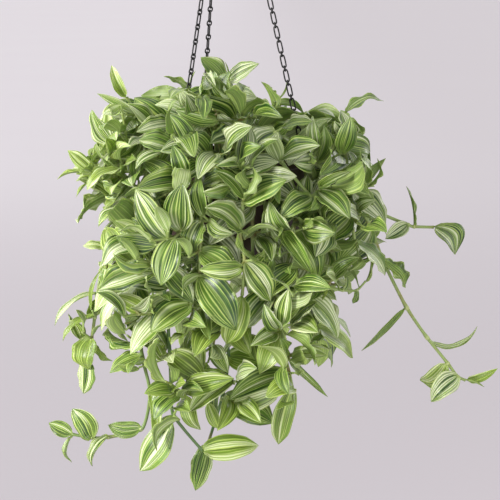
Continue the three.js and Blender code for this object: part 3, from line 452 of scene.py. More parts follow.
def seen_stem(name, form, index):
    """A stem whose joints and leaf tips the picture shows."""
    draw = draws(index + SEEN_SEED)
    joints = [seen(spot) for spot in form["joints"]]
    hanging = [seen(spot) for spot in form.get("lead", [])]
    lead = lead_points(form["angle"], form["foot"], form["crest"], [*hanging, *joints][0])
    leaves = []
    for joint, spot in zip(joints, form["tips"]):
        roll = (draw() - 0.5) * 0.5
        bend = 0.5 + draw() * 0.6
        twist = (draw() - 0.5) * 0.7
        leaves.append(leaf_to(joint, seen(spot[:3]), spot[3], roll, bend, twist, *spot[4:]))
    foot = polar(form["angle"], form["foot"], 0)
    return SimpleNamespace(name=name, foot=foot, lead=lead + hanging, joints=joints, leaves=leaves)


def curve_point(points, t):
    """A point of the centripetal curve through the points, t from 0 to 1."""
    last = len(points) - 1
    place = last * t
    i = min(int(place), last - 1)
    w = place - i
    p1, p2 = points[i], points[i + 1]
    p0 = points[i - 1] if i > 0 else 2 * points[0] - points[1]
    p3 = points[i + 2] if i + 2 <= last else 2 * points[last] - points[last - 1]
    d0, d1, d2 = [math.sqrt(np.linalg.norm(b - a)) for a, b in ((p0, p1), (p1, p2), (p2, p3))]
    t1 = ((p1 - p0) / d0 - (p2 - p0) / (d0 + d1) + (p2 - p1) / d1) * d1
    t2 = ((p2 - p1) / d1 - (p3 - p1) / (d1 + d2) + (p3 - p2) / d2) * d1
    c2 = -3 * p1 + 3 * p2 - 2 * t1 - t2
    c3 = 2 * p1 - 2 * p2 + t1 + t2
    return p1 + t1 * w + c2 * w * w + c3 * w ** 3


def stem_leaves(joints, leaf_length, draw, start=None):
    """A leaf for each joint, to one side and the other by turns; the last ends the stem."""
    leaves = []
    first = joints[0] if start is None else start
    for i, base in enumerate(joints):
        before, after = joints[i - 1] if i > 0 else first, joints[min(i + 1, len(joints) - 1)]
        along = unit(after - before)
        outward = outward_at(base)
        face = unit(outward - along * (outward @ along))
        side = np.cross(along, face) * (1 if i % 2 == 0 else -1)
        ends = i == len(joints) - 1
        chord = side * (0.2 if ends else 0.8 + 0.3 * draw())
        chord = chord + along * (1 if ends else 0.35 + 0.3 * draw())
        chord = unit(chord + face * (0.2 + 0.4 * draw()))
        young = 1 - 0.35 * (i / len(joints)) ** 3
        length = leaf_length * young * (0.85 + 0.35 * draw())
        roll = (draw() - 0.5) * 0.6
        width = length * LEAF_WIDTH_SHARE * (0.92 + 0.18 * draw())
        bend = 0.6 + draw() * 0.7
        twist = (draw() - 0.5) * 0.8
        leaves.append(leaf_along(base, chord, length, roll, width, bend, twist))
    return leaves


STEM_LEAN = 24                    # degrees between the most left and the most right lean
CURVE_STEPS = 200                 # steps in which a stem's length is measured
FIRST_JOINT = 14                  # how far past the rim's edge a hanging stem has its first joint
CROWN_FIRST_JOINT = 34            # how far up from its root a crown stem has it


def rule_stem(name, row, index, seed):
    """A stem of a row: out of the soil and over it, or over the rim and down."""
    draw = draws(seed)
    angle = row["angles"][index]
    row_foot = row["foot"]
    lean = (draw() - 0.5) * STEM_LEAN
    crest = row["crest"] * (0.85 + 0.3 * draw())
    reach = row["reach"] * (0.93 + 0.14 * draw())
    depth = row["depth"] * (0.85 + 0.3 * draw())
    foot = polar(angle, row_foot, 0)
    if depth < 0:
        points = [
            polar(angle, row_foot + 14, crest * 0.5),
            polar(angle + lean, lerp(row_foot, reach, 0.6), crest * 1.1),
            polar(angle + lean * 1.5, reach, -depth * 1.4),
        ]
    else:
        points = [
            polar(angle, row_foot + 8, crest * 0.7),
            polar(angle + lean * 0.2, POT_RADIUS + 2, max(crest, 16)),
            polar(angle + lean * 0.4, reach * 0.93, max(crest * 0.2, 2)),
            polar(angle + lean * 0.6, reach, -0.2 * depth - 20),
            polar(angle + lean * 0.8, reach * 0.97, -0.6 * depth - 10),
            polar(angle + lean, reach * 0.86, -depth),
        ]
    path = [foot - UP * ROOT_COLLAR, *points]
    shares = np.linspace(0, 1, CURVE_STEPS + 1)
    samples = np.array([curve_point(path, i / CURVE_STEPS) for i in range(CURVE_STEPS + 1)])
    lengths = np.concatenate([[0], np.cumsum(np.linalg.norm(np.diff(samples, axis=0), axis=1))])
    spacing = CROWN_INTERNODE if depth < 0 else INTERNODE
    to_rim = row["crest"] + POT_RADIUS - row_foot
    at = CROWN_FIRST_JOINT if depth < 0 else to_rim + FIRST_JOINT
    joints = []
    while at < lengths[-1]:
        joints.append(curve_point(path, np.interp(at, lengths, shares)))
        at += spacing * (0.88 + 0.24 * draw())
    return SimpleNamespace(name=f"{name}_{index + 1}", foot=foot, joints=joints,
                           lead=[] if depth < 0 else points[:2],
                           leaves=stem_leaves(joints, LEAF_LENGTH, draw))


def plan_stems():
    planned = [seen_stem(name, form, i) for i, (name, form) in enumerate(SEEN_STEMS.items())]
    for row_index, (name, row) in enumerate(STEM_ROWS.items()):
        for i in range(len(row["angles"])):
            planned.append(rule_stem(name, row, i, ROW_SEED * (row_index + 1) + i))
    return planned


def grown_leaves(stem):
    """Each planned leaf as the model has it, or None where the model left it out."""
    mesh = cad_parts["leafy_stem_" + stem.name].data
    corners = np.array([v.co for v in mesh.vertices]) * 1000 + UP * RIM_DROP

    def in_model(leaf):
        tip = leaf.base + leaf.chord * leaf.length
        return np.min(np.linalg.norm(corners - tip, axis=1)) < TIP_REACH

    return [next(filter(in_model, (tried(leaf, attempt) for attempt in LEAF_TRIES)), None)
            for leaf in stem.leaves]


stems = plan_stems()
for stem in stems:
    stem.grown = grown_leaves(stem)


# Blades: each is the model's leaf drawn finer, a thin closed sheet with ribs and waved edges

BLADE_THICK = 0.55
EDGE_THICK = 0.3
BASE_HALF = 2.3                   # half width where the blade clasps the stem
CLASP = 0.15                      # share of the length that the clasping base takes
CLASP_FOLD = 0.9                  # how much more the clasping base is folded, in radians
RIB_HEIGHT = 0.2
FULL_RIB = 12                     # half width from which the ribs have their whole height
TIP_HALF = 0.25                   # half width of a blade's very tip
POINT = 0.76                      # share of the length where a blade's point starts
WAVE_OFFSET = 1.9                 # how much later one edge waves than the other, in radians


def outline(share, lean, fullness):
    """Half width of a blade along its length, as a share of its half width at the widest."""
    oval = np.maximum(np.sin(np.pi * share ** lean), 0) ** (0.84 - fullness)
    return oval * (1 - (0.14 + fullness) * rising(POINT, 1, share))


def blade_surface(leaf, shares, spots, least=0.0):
    """Corners of a blade's middle surface and its upward normal at each share of its length."""
    angle = leaf.bend * (shares - 0.5)
    radius = leaf.length / (2 * math.sin(leaf.bend / 2))
    rise = radius * (np.cos(angle) - math.cos(leaf.bend / 2))
    reach = leaf.length / 2 + radius * np.sin(angle)
    middle = leaf.base + np.outer(reach, leaf.chord) + np.outer(rise, leaf.normal)
    along = np.outer(np.cos(angle), leaf.chord) - np.outer(np.sin(angle), leaf.normal)
    flat = np.outer(np.cos(angle), leaf.normal) + np.outer(np.sin(angle), leaf.chord)
    twist = (leaf.twist * (shares - 0.3))[:, None]
    normal = flat * np.cos(twist) + np.cross(along, flat) * np.sin(twist)
    across = np.cross(along, normal)
    clasp = (1 - rising(0, CLASP, shares))[:, None]
    breadth = leaf.width / 2 * outline(shares, leaf.lean, leaf.fullness)[:, None]
    half = np.maximum(np.hypot(breadth, BASE_HALF * clasp), least)
    fold = leaf.fold + CLASP_FOLD * clasp
    out = half * np.cos(fold) * spots
    raised = half * np.sin(fold) * np.abs(spots) ** 1.25
    phase = leaf.phase + np.where(spots > 0, WAVE_OFFSET, 0)
    ripple = np.sin(leaf.waves * 2 * np.pi * shares[:, None] + phase)
    raised = raised + leaf.wave * half * ripple * np.abs(spots) ** 3
    late = shares[:, None] ** 2 * (1 - 0.35 * shares[:, None])
    middle = middle + leaf.sway * leaf.length * late * across
    bowed = np.sin(np.pi * shares)[:, None]
    middle = middle + leaf.bow * leaf.length * bowed * across
    middle = middle - leaf.curl * leaf.length * rising(0.5, 1, shares)[:, None] ** 1.5 * normal
    surface = middle[:, None] + across[:, None] * out[..., None] + normal[:, None] * raised[..., None]
    return surface, normal, half


def sheet_faces(rows, columns):
    """Faces of a closed sheet of rows x columns corners above and as many below."""
    corner = np.arange(rows * columns).reshape(rows, columns)
    above = np.stack([corner[:-1, :-1], corner[:-1, 1:], corner[1:, 1:], corner[1:, :-1]], -1)
    above = above.reshape(-1, 4)
    below = above[:, ::-1] + rows * columns
    rim = np.concatenate([corner[:-1, 0], corner[-1, :-1], corner[:0:-1, -1], corner[0, :0:-1]])
    after = np.roll(rim, -1)
    edge = np.stack([after, after + rows * columns, rim + rows * columns, rim], -1)
    return np.concatenate([above, below, edge])


def blade_solid(leaf, shares, spots, middle_thick, edge_thick, ribs=0.0, least=0.0):
    """Corners of a blade's upper side, then of its lower side."""
    surface, normal, half = blade_surface(leaf, shares, spots, least)
    rib = ribs * np.where(np.arange(len(spots)) % 2 == 0, 1, -1) * np.minimum(half / FULL_RIB, 1)
    rib = rib * rising(0.03, 0.15, shares)[:, None] * (1 - rising(0.85, 1, shares))[:, None]
    thick = lerp(middle_thick, edge_thick, np.abs(spots) ** 2) / 2
    above = surface + normal[:, None] * (rib + thick)[..., None]
    below = surface + normal[:, None] * (rib - thick)[..., None]
    return np.concatenate([above.reshape(-1, 3), below.reshape(-1, 3)])


# Rows of corners at these shares of a blade's length, and columns at these shares of its half
# width: the fine ones are drawn, the near ones only tell whether two leaves meet
BLADE_SHARES = np.linspace(0, 1, 16) ** 1.05
BLADE_SPOTS = np.linspace(-1, 1, 11)
BLADE_FACES = sheet_faces(len(BLADE_SHARES), len(BLADE_SPOTS)).tolist()
NEAR_SHARES = np.linspace(0.1, 1, 5)
NEAR_SPOTS = np.linspace(-1, 1, 3)
NEAR_FACES = sheet_faces(len(NEAR_SHARES), len(NEAR_SPOTS)).tolist()
NEAR_THICK = 1.4


class Shape:
    """Corners and faces of one piece, and the two sets of values that its materials read there."""

    def __init__(self):
        self.points, self.faces, self.kinds, self.blade, self.look = [], [], [], [], []
        self.size = 0

    def add(self, points, faces, kind=0, blade=(0, 0, 0), look=(0, 0, 0)):
        self.points.append(points)
        size = self.size
        self.faces.extend([corner + size for corner in face] for face in faces)
        self.kinds.extend([kind] * len(faces))
        self.blade.append(np.broadcast_to(blade, points.shape))
        self.look.append(np.broadcast_to(look, points.shape))
        self.size += len(points)

    def as_object(self, name):
        mesh = bpy.data.meshes.new(name)
        mesh.from_pydata(in_metres(np.concatenate(self.points)).tolist(), [], self.faces)
        return shown(name, mesh)

    def piece(self, name, materials, nodes=(), read=False):
        """The shape as a smooth piece of the frame, in place of the nodes."""
        made = self.as_object(name)
        mesh = made.data
        mesh.polygons.foreach_set("material_index", self.kinds)
        for key, values in (("blade", self.blade), ("look", self.look)) if read else ():
            attribute = mesh.attributes.new(key, "FLOAT_VECTOR", "POINT")
            attribute.data.foreach_set("vector", np.concatenate(values).astype(np.float32).ravel())
        mesh.shade_smooth()
        for material in materials:
            mesh.materials.append(material)
        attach(made, "root")
        if nodes:
            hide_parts(*nodes)
        return made


# Painted light and shade: leaves are paler at the low ends of the stems and at the left, where most of
# the light is, and darker in the crown and at the right; at the low ends this is partly the paler
# colour of young leaves
YOUNG_LIT_HEIGHT, OLD_SHADED_HEIGHT = -300.0, -60.0
LIT_SIDE, SHADED_SIDE = -190.0, -60.0


def finish_leaf(leaf, draw, fold=None, wave=None):
    """Gives a leaf what only its looks need: its outline, its waved edges and its colours."""
    leaf.fold = fold if fold is not None else 0.1 + 0.42 * draw() ** 2
    leaf.wave = wave if wave is not None else 0.05 + 0.24 * draw() ** 1.5
    leaf.sway = (draw() - 0.5) * 0.26
    leaf.bow = 0.0
    leaf.curl = draw() ** 3 * 0.24
    leaf.lean = 0.76 + 0.14 * draw()
    leaf.fullness = 0.02 + 0.22 * draw()
    leaf.waves = 1.3 + 1.9 * draw()
    leaf.phase = draw() * 6.28
    leaf.cream = draw() ** 1.6
    low = 1 - rising(YOUNG_LIT_HEIGHT, OLD_SHADED_HEIGHT, leaf.base[2])
    left = 1 - rising(LIT_SIDE, SHADED_SIDE, leaf.base[0])
    # painted glow: leaves high at the left, lit from behind, get more cream
    leaf.cream = lerp(leaf.cream, 1.0, 0.4 * left * (1 - low))
    # a random tone plus painted light and shade for where the leaf hangs
    leaf.tone = lerp(0.2, 0.76 + 0.2 * (1 - low), max(low, left)) + (draw() - 0.5) * 0.75
    leaf.seed = draw()
    return leaf


def add_blade(shape, leaf):
    """Adds a leaf's blade. Its material reads where on the blade a point is and which side."""
    points = blade_solid(leaf, BLADE_SHARES, BLADE_SPOTS, BLADE_THICK, EDGE_THICK, RIB_HEIGHT,
                         TIP_HALF)
    blade = np.zeros((2, len(BLADE_SHARES), len(BLADE_SPOTS), 3))
    blade[..., 0] = BLADE_SPOTS
    blade[..., 1] = BLADE_SHARES[:, None]
    blade[..., 2] = leaf.seed
    look = np.zeros(blade.shape)
    look[..., 0] = leaf.cream
    look[..., 1] = leaf.tone
    look[1, ..., 2] = 1
    shape.add(points, BLADE_FACES, 1, blade.reshape(-1, 3), look.reshape(-1, 3))


# Round stems and wires

def ring_faces(rings, sides, closed=False, capped=False):
    """Faces between rings of corners. Closed joins the last ring to the first."""
    corner = np.arange(rings * sides).reshape(rings, sides)
    here = corner if closed else corner[:-1]
    there = np.roll(corner, -1, axis=0) if closed else corner[1:]
    quads = np.stack([here, np.roll(here, -1, 1), np.roll(there, -1, 1), there], -1)
    caps = [corner[0, ::-1].tolist(), corner[-1].tolist()] if capped else []
    return quads.reshape(-1, 4).tolist() + caps


ANY_SIDE = (0.31, 0.87, 0.39)     # a direction that no tube starts along


def tube(path, radii, sides, closed=False, face=None):
    """Corners and faces of a round tube along a path. A flat closed path gives its face."""
    path = np.asarray(path, float)
    if closed:
        ahead = np.roll(path, -1, 0) - np.roll(path, 1, 0)
    else:
        ahead = np.gradient(path, axis=0)
    ahead = ahead / np.linalg.norm(ahead, axis=1)[:, None]
    if face is None:
        normals = [unit(np.cross(ahead[0], ANY_SIDE))]
        for direction in ahead[1:]:
            carried = normals[-1] - direction * (direction @ normals[-1])
            normals.append(unit(carried))
        normals = np.array(normals)
    else:
        normals = np.broadcast_to(face, path.shape)
    sideways = np.cross(ahead, normals)
    turn = full_turn(sides)
    radii = np.broadcast_to(radii, len(path))
    rim = normals[:, None] * np.cos(turn)[:, None] + sideways[:, None] * np.sin(turn)[:, None]
    points = (path[:, None] + rim * radii[:, None, None]).reshape(-1, 3)
    return points, ring_faces(len(path), sides, closed, not closed)


# Along each stretch of a stem: the share of the stretch and how much thicker the stem is there.
# The stem swells at a joint, and the sheath of the joint's leaf ends in a small lip above it.
STRETCH = [(0, 1.28), (0.05, 1.36), (0.1, 1.4), (0.125, 1.08), (0.25, 1), (0.45, 0.96),
           (0.65, 0.96), (0.82, 1), (0.93, 1.14)]
BARE_STRETCH = [(0, 1), (0.2, 1), (0.4, 1), (0.6, 1), (0.8, 1)]
STEM_SIDES = 9
STEM_PULL = 0.36                  # how far a stem's bends are rounded
ROOT_PULL = 14                    # how strongly it is held upright in the soil
STEM_FULL = 1.06                  # a stem of few sides is this much wider, to look as thick
STEM_END = 1.1


def stem_tube(path, first_joint, low_half, high_half):
    """A stem through the points of path, and how far along its stretch each corner is."""
    count = len(path)
    pulls = [STEM_PULL * (path[min(i + 1, count - 1)] - path[max(i - 1, 0)]) for i in range(count)]
    if first_joint > 1:
        pulls[0] = pulls[1] = UP * ROOT_PULL
    points, radii, spots = [], [], []
    for i in range(count - 1):
        for t, swell in STRETCH if i >= first_joint else BARE_STRETCH:
            a, b = path[i], path[i + 1]
            bend = (2 * t ** 3 - 3 * t * t + 1) * a + (3 * t * t - 2 * t ** 3) * b
            bend = bend + (t ** 3 - 2 * t * t + t) * pulls[i] + (t ** 3 - t * t) * pulls[i + 1]
            points.append(bend)
            radii.append(lerp(low_half, high_half, (i + t) / (count - 1)) * swell * STEM_FULL)
            spots.append(t if i >= first_joint else 0.5)
    points.append(path[-1])
    radii.append(high_half * STEM_END)
    spots.append(0)
    corners, faces = tube(points, radii, STEM_SIDES)
    blade = np.zeros((len(spots), STEM_SIDES, 3))
    blade[..., 0] = np.linspace(-1, 1, STEM_SIDES)
    blade[..., 1] = np.array(spots)[:, None]
    return corners, faces, blade.reshape(-1, 3)


PLAIN_GREEN = 0.2                 # how dark a green most stems have


def add_stem(shape, path, first_joint, low_half, high_half, seed, depth=PLAIN_GREEN):
    """Adds a stem; depth is how dark a green it has."""
    corners, faces, blade = stem_tube(path, first_joint, low_half, high_half)
    blade[:, 2] = seed
    shape.add(corners, faces, 0, blade, (depth, 0, 0))


class Neighbours:
    """What is in place already, to keep new leaves and stems clear of it."""

    def __init__(self):
        self.trees, self.owners, self.boxes = [], [], np.zeros((0, 6))

    def add(self, points, faces, owner=""):
        self.trees.append(BVHTree.FromPolygons(points.tolist(), faces))
        self.owners.append(owner)
        self.boxes = np.vstack([self.boxes, [*points.min(0), *points.max(0)]])

    def clear(self, points, faces, skip=None):
        """True where the shape meets nothing, apart from the one owner that is skipped."""
        below = (self.boxes[:, :3] < points.max(0)).all(1)
        above = (self.boxes[:, 3:] > points.min(0)).all(1)
        near = [i for i in np.flatnonzero(below & above) if self.owners[i] != skip]
        if not near:
            return True
        tree = BVHTree.FromPolygons(points.tolist(), faces)
        return not any(tree.overlap(self.trees[i]) for i in near)


# Half the room that each kind of rod keeps free about its middle
SHOOT_ROOM = 2.4
STEM_ROOM = 2.6
CHAIN_ROOM = 5.5


def near_blade(leaf):
    return blade_solid(leaf, NEAR_SHARES, NEAR_SPOTS, NEAR_THICK, NEAR_THICK)


def near_rod(path, room=SHOOT_ROOM):
    return tube(path, room, 4)


def lathe(profile, sides, capped=False):
    """Corners and faces of a profile, of radii and heights, turned about the Z axis."""
    turn = full_turn(sides)
    radii, heights = np.array(profile, float).T
    points = np.zeros((len(profile), sides, 3))
    points[..., 0] = radii[:, None] * np.cos(turn)
    points[..., 1] = radii[:, None] * np.sin(turn)
    points[..., 2] = heights[:, None]
    return points.reshape(-1, 3), ring_faces(len(profile), sides, capped=capped)


def chain_line(name):
    """A chain's top on the eye, its foot in the rim, its direction and the eye wire's there."""
    seat = math.radians(EYE_SEATS[name])
    centre = UP * (APEX_HEIGHT + EYE_RADIUS)
    top = centre + EYE_RADIUS * np.array([math.sin(seat), 0, -math.cos(seat)])
    low = SLOT_TOP - GAP - LOOP_WIRE - LOOP_CLIMB
    foot = polar(CHAIN_ANGLES[name], POT_RADIUS - POT_WALL / 2, low)
    along = unit(top - foot)
    return top, foot, along, np.array([math.cos(seat), 0, math.sin(seat)])


# The room that the pot and its soil take, from the pot's foot up and over its rim
POT_ROOM = [(70, -POT_DEPTH), (88, -POT_DEPTH + 8), (106, -POT_DEPTH + 38), (116, -85),
            (POT_RADIUS, -BAND_HEIGHT - 1), (POT_RADIUS + 5, -BAND_HEIGHT), (POT_RADIUS + 5, 1),
            (POT_RADIUS - 4, 1), (POT_RADIUS - 4, -SOIL_EDGE_DROP + 2), (60, -SOIL_DROP),
            (0.1, -SOIL_DROP + 2)]

placed = Neighbours()
placed.add(*lathe(POT_ROOM, 24), "pot")
for chain_name in CHAIN_ANGLES:
    chain_top, chain_foot, _, _ = chain_line(chain_name)
    placed.add(*near_rod([chain_foot, chain_top], CHAIN_ROOM), chain_name)


# More leaves than the model carries, on shoots from its stems and from the soil

# The edge of the mass of leaves in the picture, across and height
MASS_EDGE = np.array([
    (-151, 99), (-97, 114), (-59, 105), (-39, 130), (-5, 138), (18, 125), (52, 89), (95, 80),
    (129, 68), (180, 74), (216, 40), (222, -6), (228, -52), (240, -91), (250, -122),
    (234, -157), (203, -179), (180, -206), (157, -222), (165, -253), (186, -281), (165, -302),
    (139, -333), (111, -363), (95, -414), (72, -434), (52, -419), (34, -445), (-20, -465),
    (-46, -496), (-66, -471), (-120, -480), (-136, -437), (-120, -383), (-151, -353),
    (-179, -314), (-197, -299), (-213, -337), (-228, -314), (-246, -276), (-255, -249),
    (-220, -222), (-205, -191), (-189, -163), (-179, -129), (-189, -91), (-205, -65),
    (-240, -45), (-243, -14), (-209, 9), (-205, 52), (-182, 86),
], float)

EDGE_FROM = MASS_EDGE.T[:, :, None]
EDGE_TO = np.roll(MASS_EDGE, -1, 0).T[:, :, None]


def in_mass(points):
    """True where every point shows inside the mass of leaves and lies in the model's box."""
    spots = in_metres(points)
    if (spots < np.array(CAD_LOW)).any() or (spots > np.array(CAD_HIGH)).any():
        return False
    x, y = picture_spots(points)
    crosses = (EDGE_FROM[1] > y) != (EDGE_TO[1] > y)
    at = EDGE_FROM[0] + (EDGE_TO[0] - EDGE_FROM[0]) * (y - EDGE_FROM[1]) / (EDGE_TO[1] - EDGE_FROM[1])
    return bool(((crosses & (x < at)).sum(0) % 2 == 1).all())


# Turn, lift and scale of a shoot's leaf, in the order in which they are tried
SHOOT_TRIES = [[0, 0, 1], [25, 0, 0.95], [-25, 0, 0.95], [0, 25, 0.9], [0, -25, 0.9],
               [40, 15, 0.8], [-40, 15, 0.8], [15, -40, 0.75], [0, 50, 0.7], [60, 20, 0.65],
               [-60, 20, 0.65], [0, 0, 0.55]]
TURNED_SHARE = 0.3                # share of a shoot's leaves that turn freely about their ribs
FOLDED_SHARE = 0.14               # share of them that are folded much more


def settle(leaf, draw, owner):
    """The first turn, lift and size of a leaf that is clear of all that is placed, or None."""
    finish_leaf(leaf, draw)
    roll = (draw() - 0.5) * (3.2 if draw() < TURNED_SHARE else 1.0)
    leaf.normal = spun(leaf.normal, leaf.chord, roll)
    if draw() < FOLDED_SHARE:
        leaf.fold += 0.35 + 0.35 * draw()
    for attempt in SHOOT_TRIES:
        trial = tried(leaf, attempt)
        near = near_blade(trial)
        if in_mass(near) and placed.clear(near, NEAR_FACES, owner):
            placed.add(near, NEAR_FACES, "leaf")
            return trial
    return None


START_ROOM = 6                    # how near its start a shoot may touch what it grows from


def grow_shoot(start, heading, steps, leaf_length, draw, owner, bare=0.0):
    """A short stem and its leaves, or None if there is no room for them."""
    path, heading = [start], unit(heading)
    if bare:
        path.append(start + heading * bare)
    for step in steps:
        sway = np.array([draw(), draw(), draw()]) - 0.5
        heading = unit(heading + 0.25 * unit(outward_at(path[-1])) + 0.6 * sway)
        path.append(path[-1] + heading * step)
    first = path[1] - path[0]
    clear_start = path[0] + first * min(0.9, START_ROOM / np.linalg.norm(first))
    rod = near_rod([clear_start, *path[1:]])
    if not in_mass(np.array(path[1:])) or not placed.clear(*rod):
        return None
    joints = path[2:] if bare else path[1:]
    mark = len(placed.trees)
    planned = stem_leaves(joints, leaf_length, draw, path[-len(joints) - 1])
    leaves = [settle(leaf, draw, owner) for leaf in planned]
    if sum(leaf is not None for leaf in leaves) < min(2, len(leaves)) or leaves[-1] is None:
        del placed.trees[mark:], placed.owners[mark:]
        placed.boxes = placed.boxes[:mark]
        return None
    placed.add(*rod, owner)
    first_joint = len(path) - len(joints)
    return SimpleNamespace(path=path, first_joint=first_joint, leaves=leaves, owner=owner)


def stem_line(stem):
    return [stem.foot - UP * ROOT_DEPTH, stem.foot - UP * ROOT_COLLAR, *stem.lead, *stem.joints]


# How much broader than in the model a leaf may be, in turn: one whose place the picture gives,
# and one of the hidden rows
WIDER_SEEN = [1.08, 1.0]
WIDER_HIDDEN = [1.24, 1.14, 1.06, 1.0]


def widened(leaf, owner, shares):
    """The leaf as broad as its neighbours let it be."""
    for share in shares:
        trial = altered(leaf, width=leaf.width * share)
        near = near_blade(trial)
        if share == 1 or placed.clear(near, NEAR_FACES, owner):
            placed.add(near, NEAR_FACES, "leaf")
            return trial


for stem in stems:
    stem.line = stem_line(stem)
    placed.add(*near_rod(stem.line, STEM_ROOM), stem.name)

# Leaves whose own form or colour the picture shows, by stem and number up the stem. Bend is how
# far a leaf arches out of its plane, in radians; bow and sway are how far it curves within it,
# as shares of its length.
SHOWN_LEAVES = {
    ("right_spray", 5): dict(width=52, bow=-0.33, sway=0, fold=0.15, wave=0.04, lean=0.9,
                             cream=0.3),
    ("right_spray", 4): dict(width=19, bend=0.5, sway=0, curl=0, fold=0.4),
    ("right_spray", 3): dict(width=27, bow=-0.06, sway=0, fold=0.6),
    ("right_trail", 3): dict(width=32, bow=0.1, sway=0, fold=0.5, wave=0.3, lean=1.05),
    ("right_trail", 4): dict(bend=0.3, bow=0.03, sway=0.05, curl=0, fold=0.6),
    ("right_trail", 5): dict(bend=-2.6, bow=0.02, twist=0, curl=0, sway=0, fold=0.5),
    ("right_trail", 6): dict(width=34, bow=-0.16, sway=0, fullness=0.2),
    ("right_trail", 8): dict(bend=-2.1, bow=0.05, twist=0, curl=0, sway=0, fold=0.5),
    ("top_left", 2): dict(width=23, fold=0.8),
    ("crown_1", 1): dict(width=26, fold=0.9),
    ("crown_4", 0): dict(width=34, fold=0.8),
    ("left_spray", 1): dict(bend=1.2, twist=0, curl=0, fold=0.4, wave=0.06),
    ("left_spray", 3): dict(bend=0.9, fold=0.6),
    ("lower_left", 3): dict(bend=1.3, twist=0, curl=0, fold=0.5),
    ("lower_left", 4): dict(bend=1.3, twist=0, curl=0, fold=0.5),
    ("lower_left", 5): dict(fold=0.35, bend=1.2),
    ("lower_left", 6): dict(bow=-0.1, sway=0),
    ("bottom_left", 5): dict(bend=0.4, bow=-0.16, sway=0, fold=0.5),
    # the low tone of these four leaves is painted shade
    ("bottom_left", 6): dict(bow=-0.12, sway=0, tone=0.3),
    ("bottom_left", 7): dict(width=31, bend=1.8, bow=-0.22, sway=0, twist=0, fold=0.4, tone=0.3),
    ("bottom_left", 8): dict(width=36, bow=0.2, sway=0, fold=0.3, cream=0.2, tone=0.3),
    ("bottom_left", 9): dict(cream=0.2, tone=0.3),
    ("bottom_middle", 5): dict(bend=0.5, bow=-0.12, fold=0.2, wave=0.05, sway=0.04),
    ("bottom_middle", 6): dict(bow=0.05, sway=0, fold=0.15, wave=0.06, fullness=0.3, cream=0.4),
    ("bottom_tip", 1): dict(sway=0, fold=0.14, wave=0.06, fullness=0.2, cream=0.15),
    ("bottom_tip", 3): dict(bow=-0.03, sway=0, wave=0.08, fullness=0.22, cream=0.2),
    ("bottom_tip", 4): dict(bow=-0.04, sway=0),
    ("bottom_right", 3): dict(bend=-0.4, bow=-0.02, sway=0, curl=0, fold=0.45, wave=0.12),
    ("bottom_right", 4): dict(bow=0.04, sway=0, curl=0, fold=0.3, wave=0.05, cream=0.3),
    ("bottom_right", 5): dict(bow=0.1, sway=0, fold=0.16, wave=0.07, fullness=0.26, lean=0.95,
                              cream=0.15),
    ("front_middle_left", 5): dict(cream=0.1, wave=0.05),
    ("top_leaf", 1): dict(bend=0.4, fold=0.15, wave=0.05, sway=0),
}

for index, stem in enumerate(stems):
    looks_draw = draws(LOOKS_SEED + index)
    for number, leaf in enumerate(stem.grown):
        if leaf is not None:
            finish_leaf(leaf, looks_draw)
            vars(leaf).update(SHOWN_LEAVES.get((stem.name, number), {}))
    wider = WIDER_SEEN if stem.name in SEEN_STEMS else WIDER_HIDDEN
    stem.grown = [leaf and widened(leaf, stem.name, wider) for leaf in stem.grown]

# Small shoots that the picture shows: the stem and the joint they start from, then the spots
# they pass and the tip and width of a leaf for each spot, as in the table of stems
SHOWN_SHOOTS = [
    dict(stem="right_low", joint=3,
         spots=[[150, -203, -142], [174, -206, -132], [196, -206, -124], [210, -192, -120]],
         tips=[[128, -232, -150, 18], [180, -184, -128, 14], [190, -226, -126, 12],
               [217, -150, -118, 15]]),
    dict(stem="right_spray", joint=1, spots=[[212, -48, -26]], tips=[[239, -8, -26, 17]]),
    dict(stem="lower_left", joint=4, spots=[[-206, -236, -92]], tips=[[-196, -176, -92, 11]]),
    dict(stem="lower_left", joint=5, spots=[[-201, -288, -88]], tips=[[-176, -316, -92, 16]]),
    dict(stem="bottom_left", joint=9, spots=[[-238, -430, -130]], tips=[[-245, -469, -138, 22]]),
    dict(stem="bottom_left", joint=2, spots=[[-134, -202, -160]], tips=[[-112, -236, -168, 30]]),
    dict(stem="bottom_tip", joint=0,
         spots=[[-16, -262, -128], [-22, -290, -132], [-30, -316, -134]],
         tips=[[-62, -298, -150, 30], [4, -330, -150, 30], [-36, -372, -146, 32]]),
    dict(stem="bottom_middle", joint=4, spots=[[-64, -362, -152], [-30, -376, -146]],
         tips=[[-40, -423, -152, 30], [-10, -416, -146, 22]]),
]

# Shoots of the same kind over the pot's left and right walls, behind the leaves at the front
SIDE_SHOOTS = [
    dict(stem="lower_left", joint=0, spots=[[-150, -92, 4], [-147, -124, 14], [-143, -158, 18]],
         tips=[[-168, -112, 46, 42], [-160, -160, -26, 40], [-158, -204, 40, 40]]),
    dict(stem="back_long_6", joint=1, spots=[[-160, -14, 48], [-158, -44, 34], [-152, -80, 26]],
         tips=[[-178, -40, 16, 40], [-172, -78, 64, 38], [-164, -118, -4, 40]]),
    dict(stem="left_upper", joint=1, spots=[[-158, -4, -40], [-162, -34, -30], [-158, -66, -26]],
         tips=[[-182, -30, -6, 38], [-176, -72, -56, 36], [-172, -104, 2, 38]]),
    dict(stem="right_upper", joint=1,
         spots=[[164, -14, 14], [160, -50, 22], [154, -90, 26], [148, -130, 26]],
         tips=[[186, -36, 44, 38], [176, -84, -8, 38], [168, -128, 62, 38], [160, -176, 0, 36]]),
    dict(stem="back_long_1", joint=2, spots=[[156, -44, 56], [150, -84, 48], [144, -120, 42]],
         tips=[[176, -76, 20, 38], [166, -130, 78, 36], [156, -168, 20, 36]]),
]


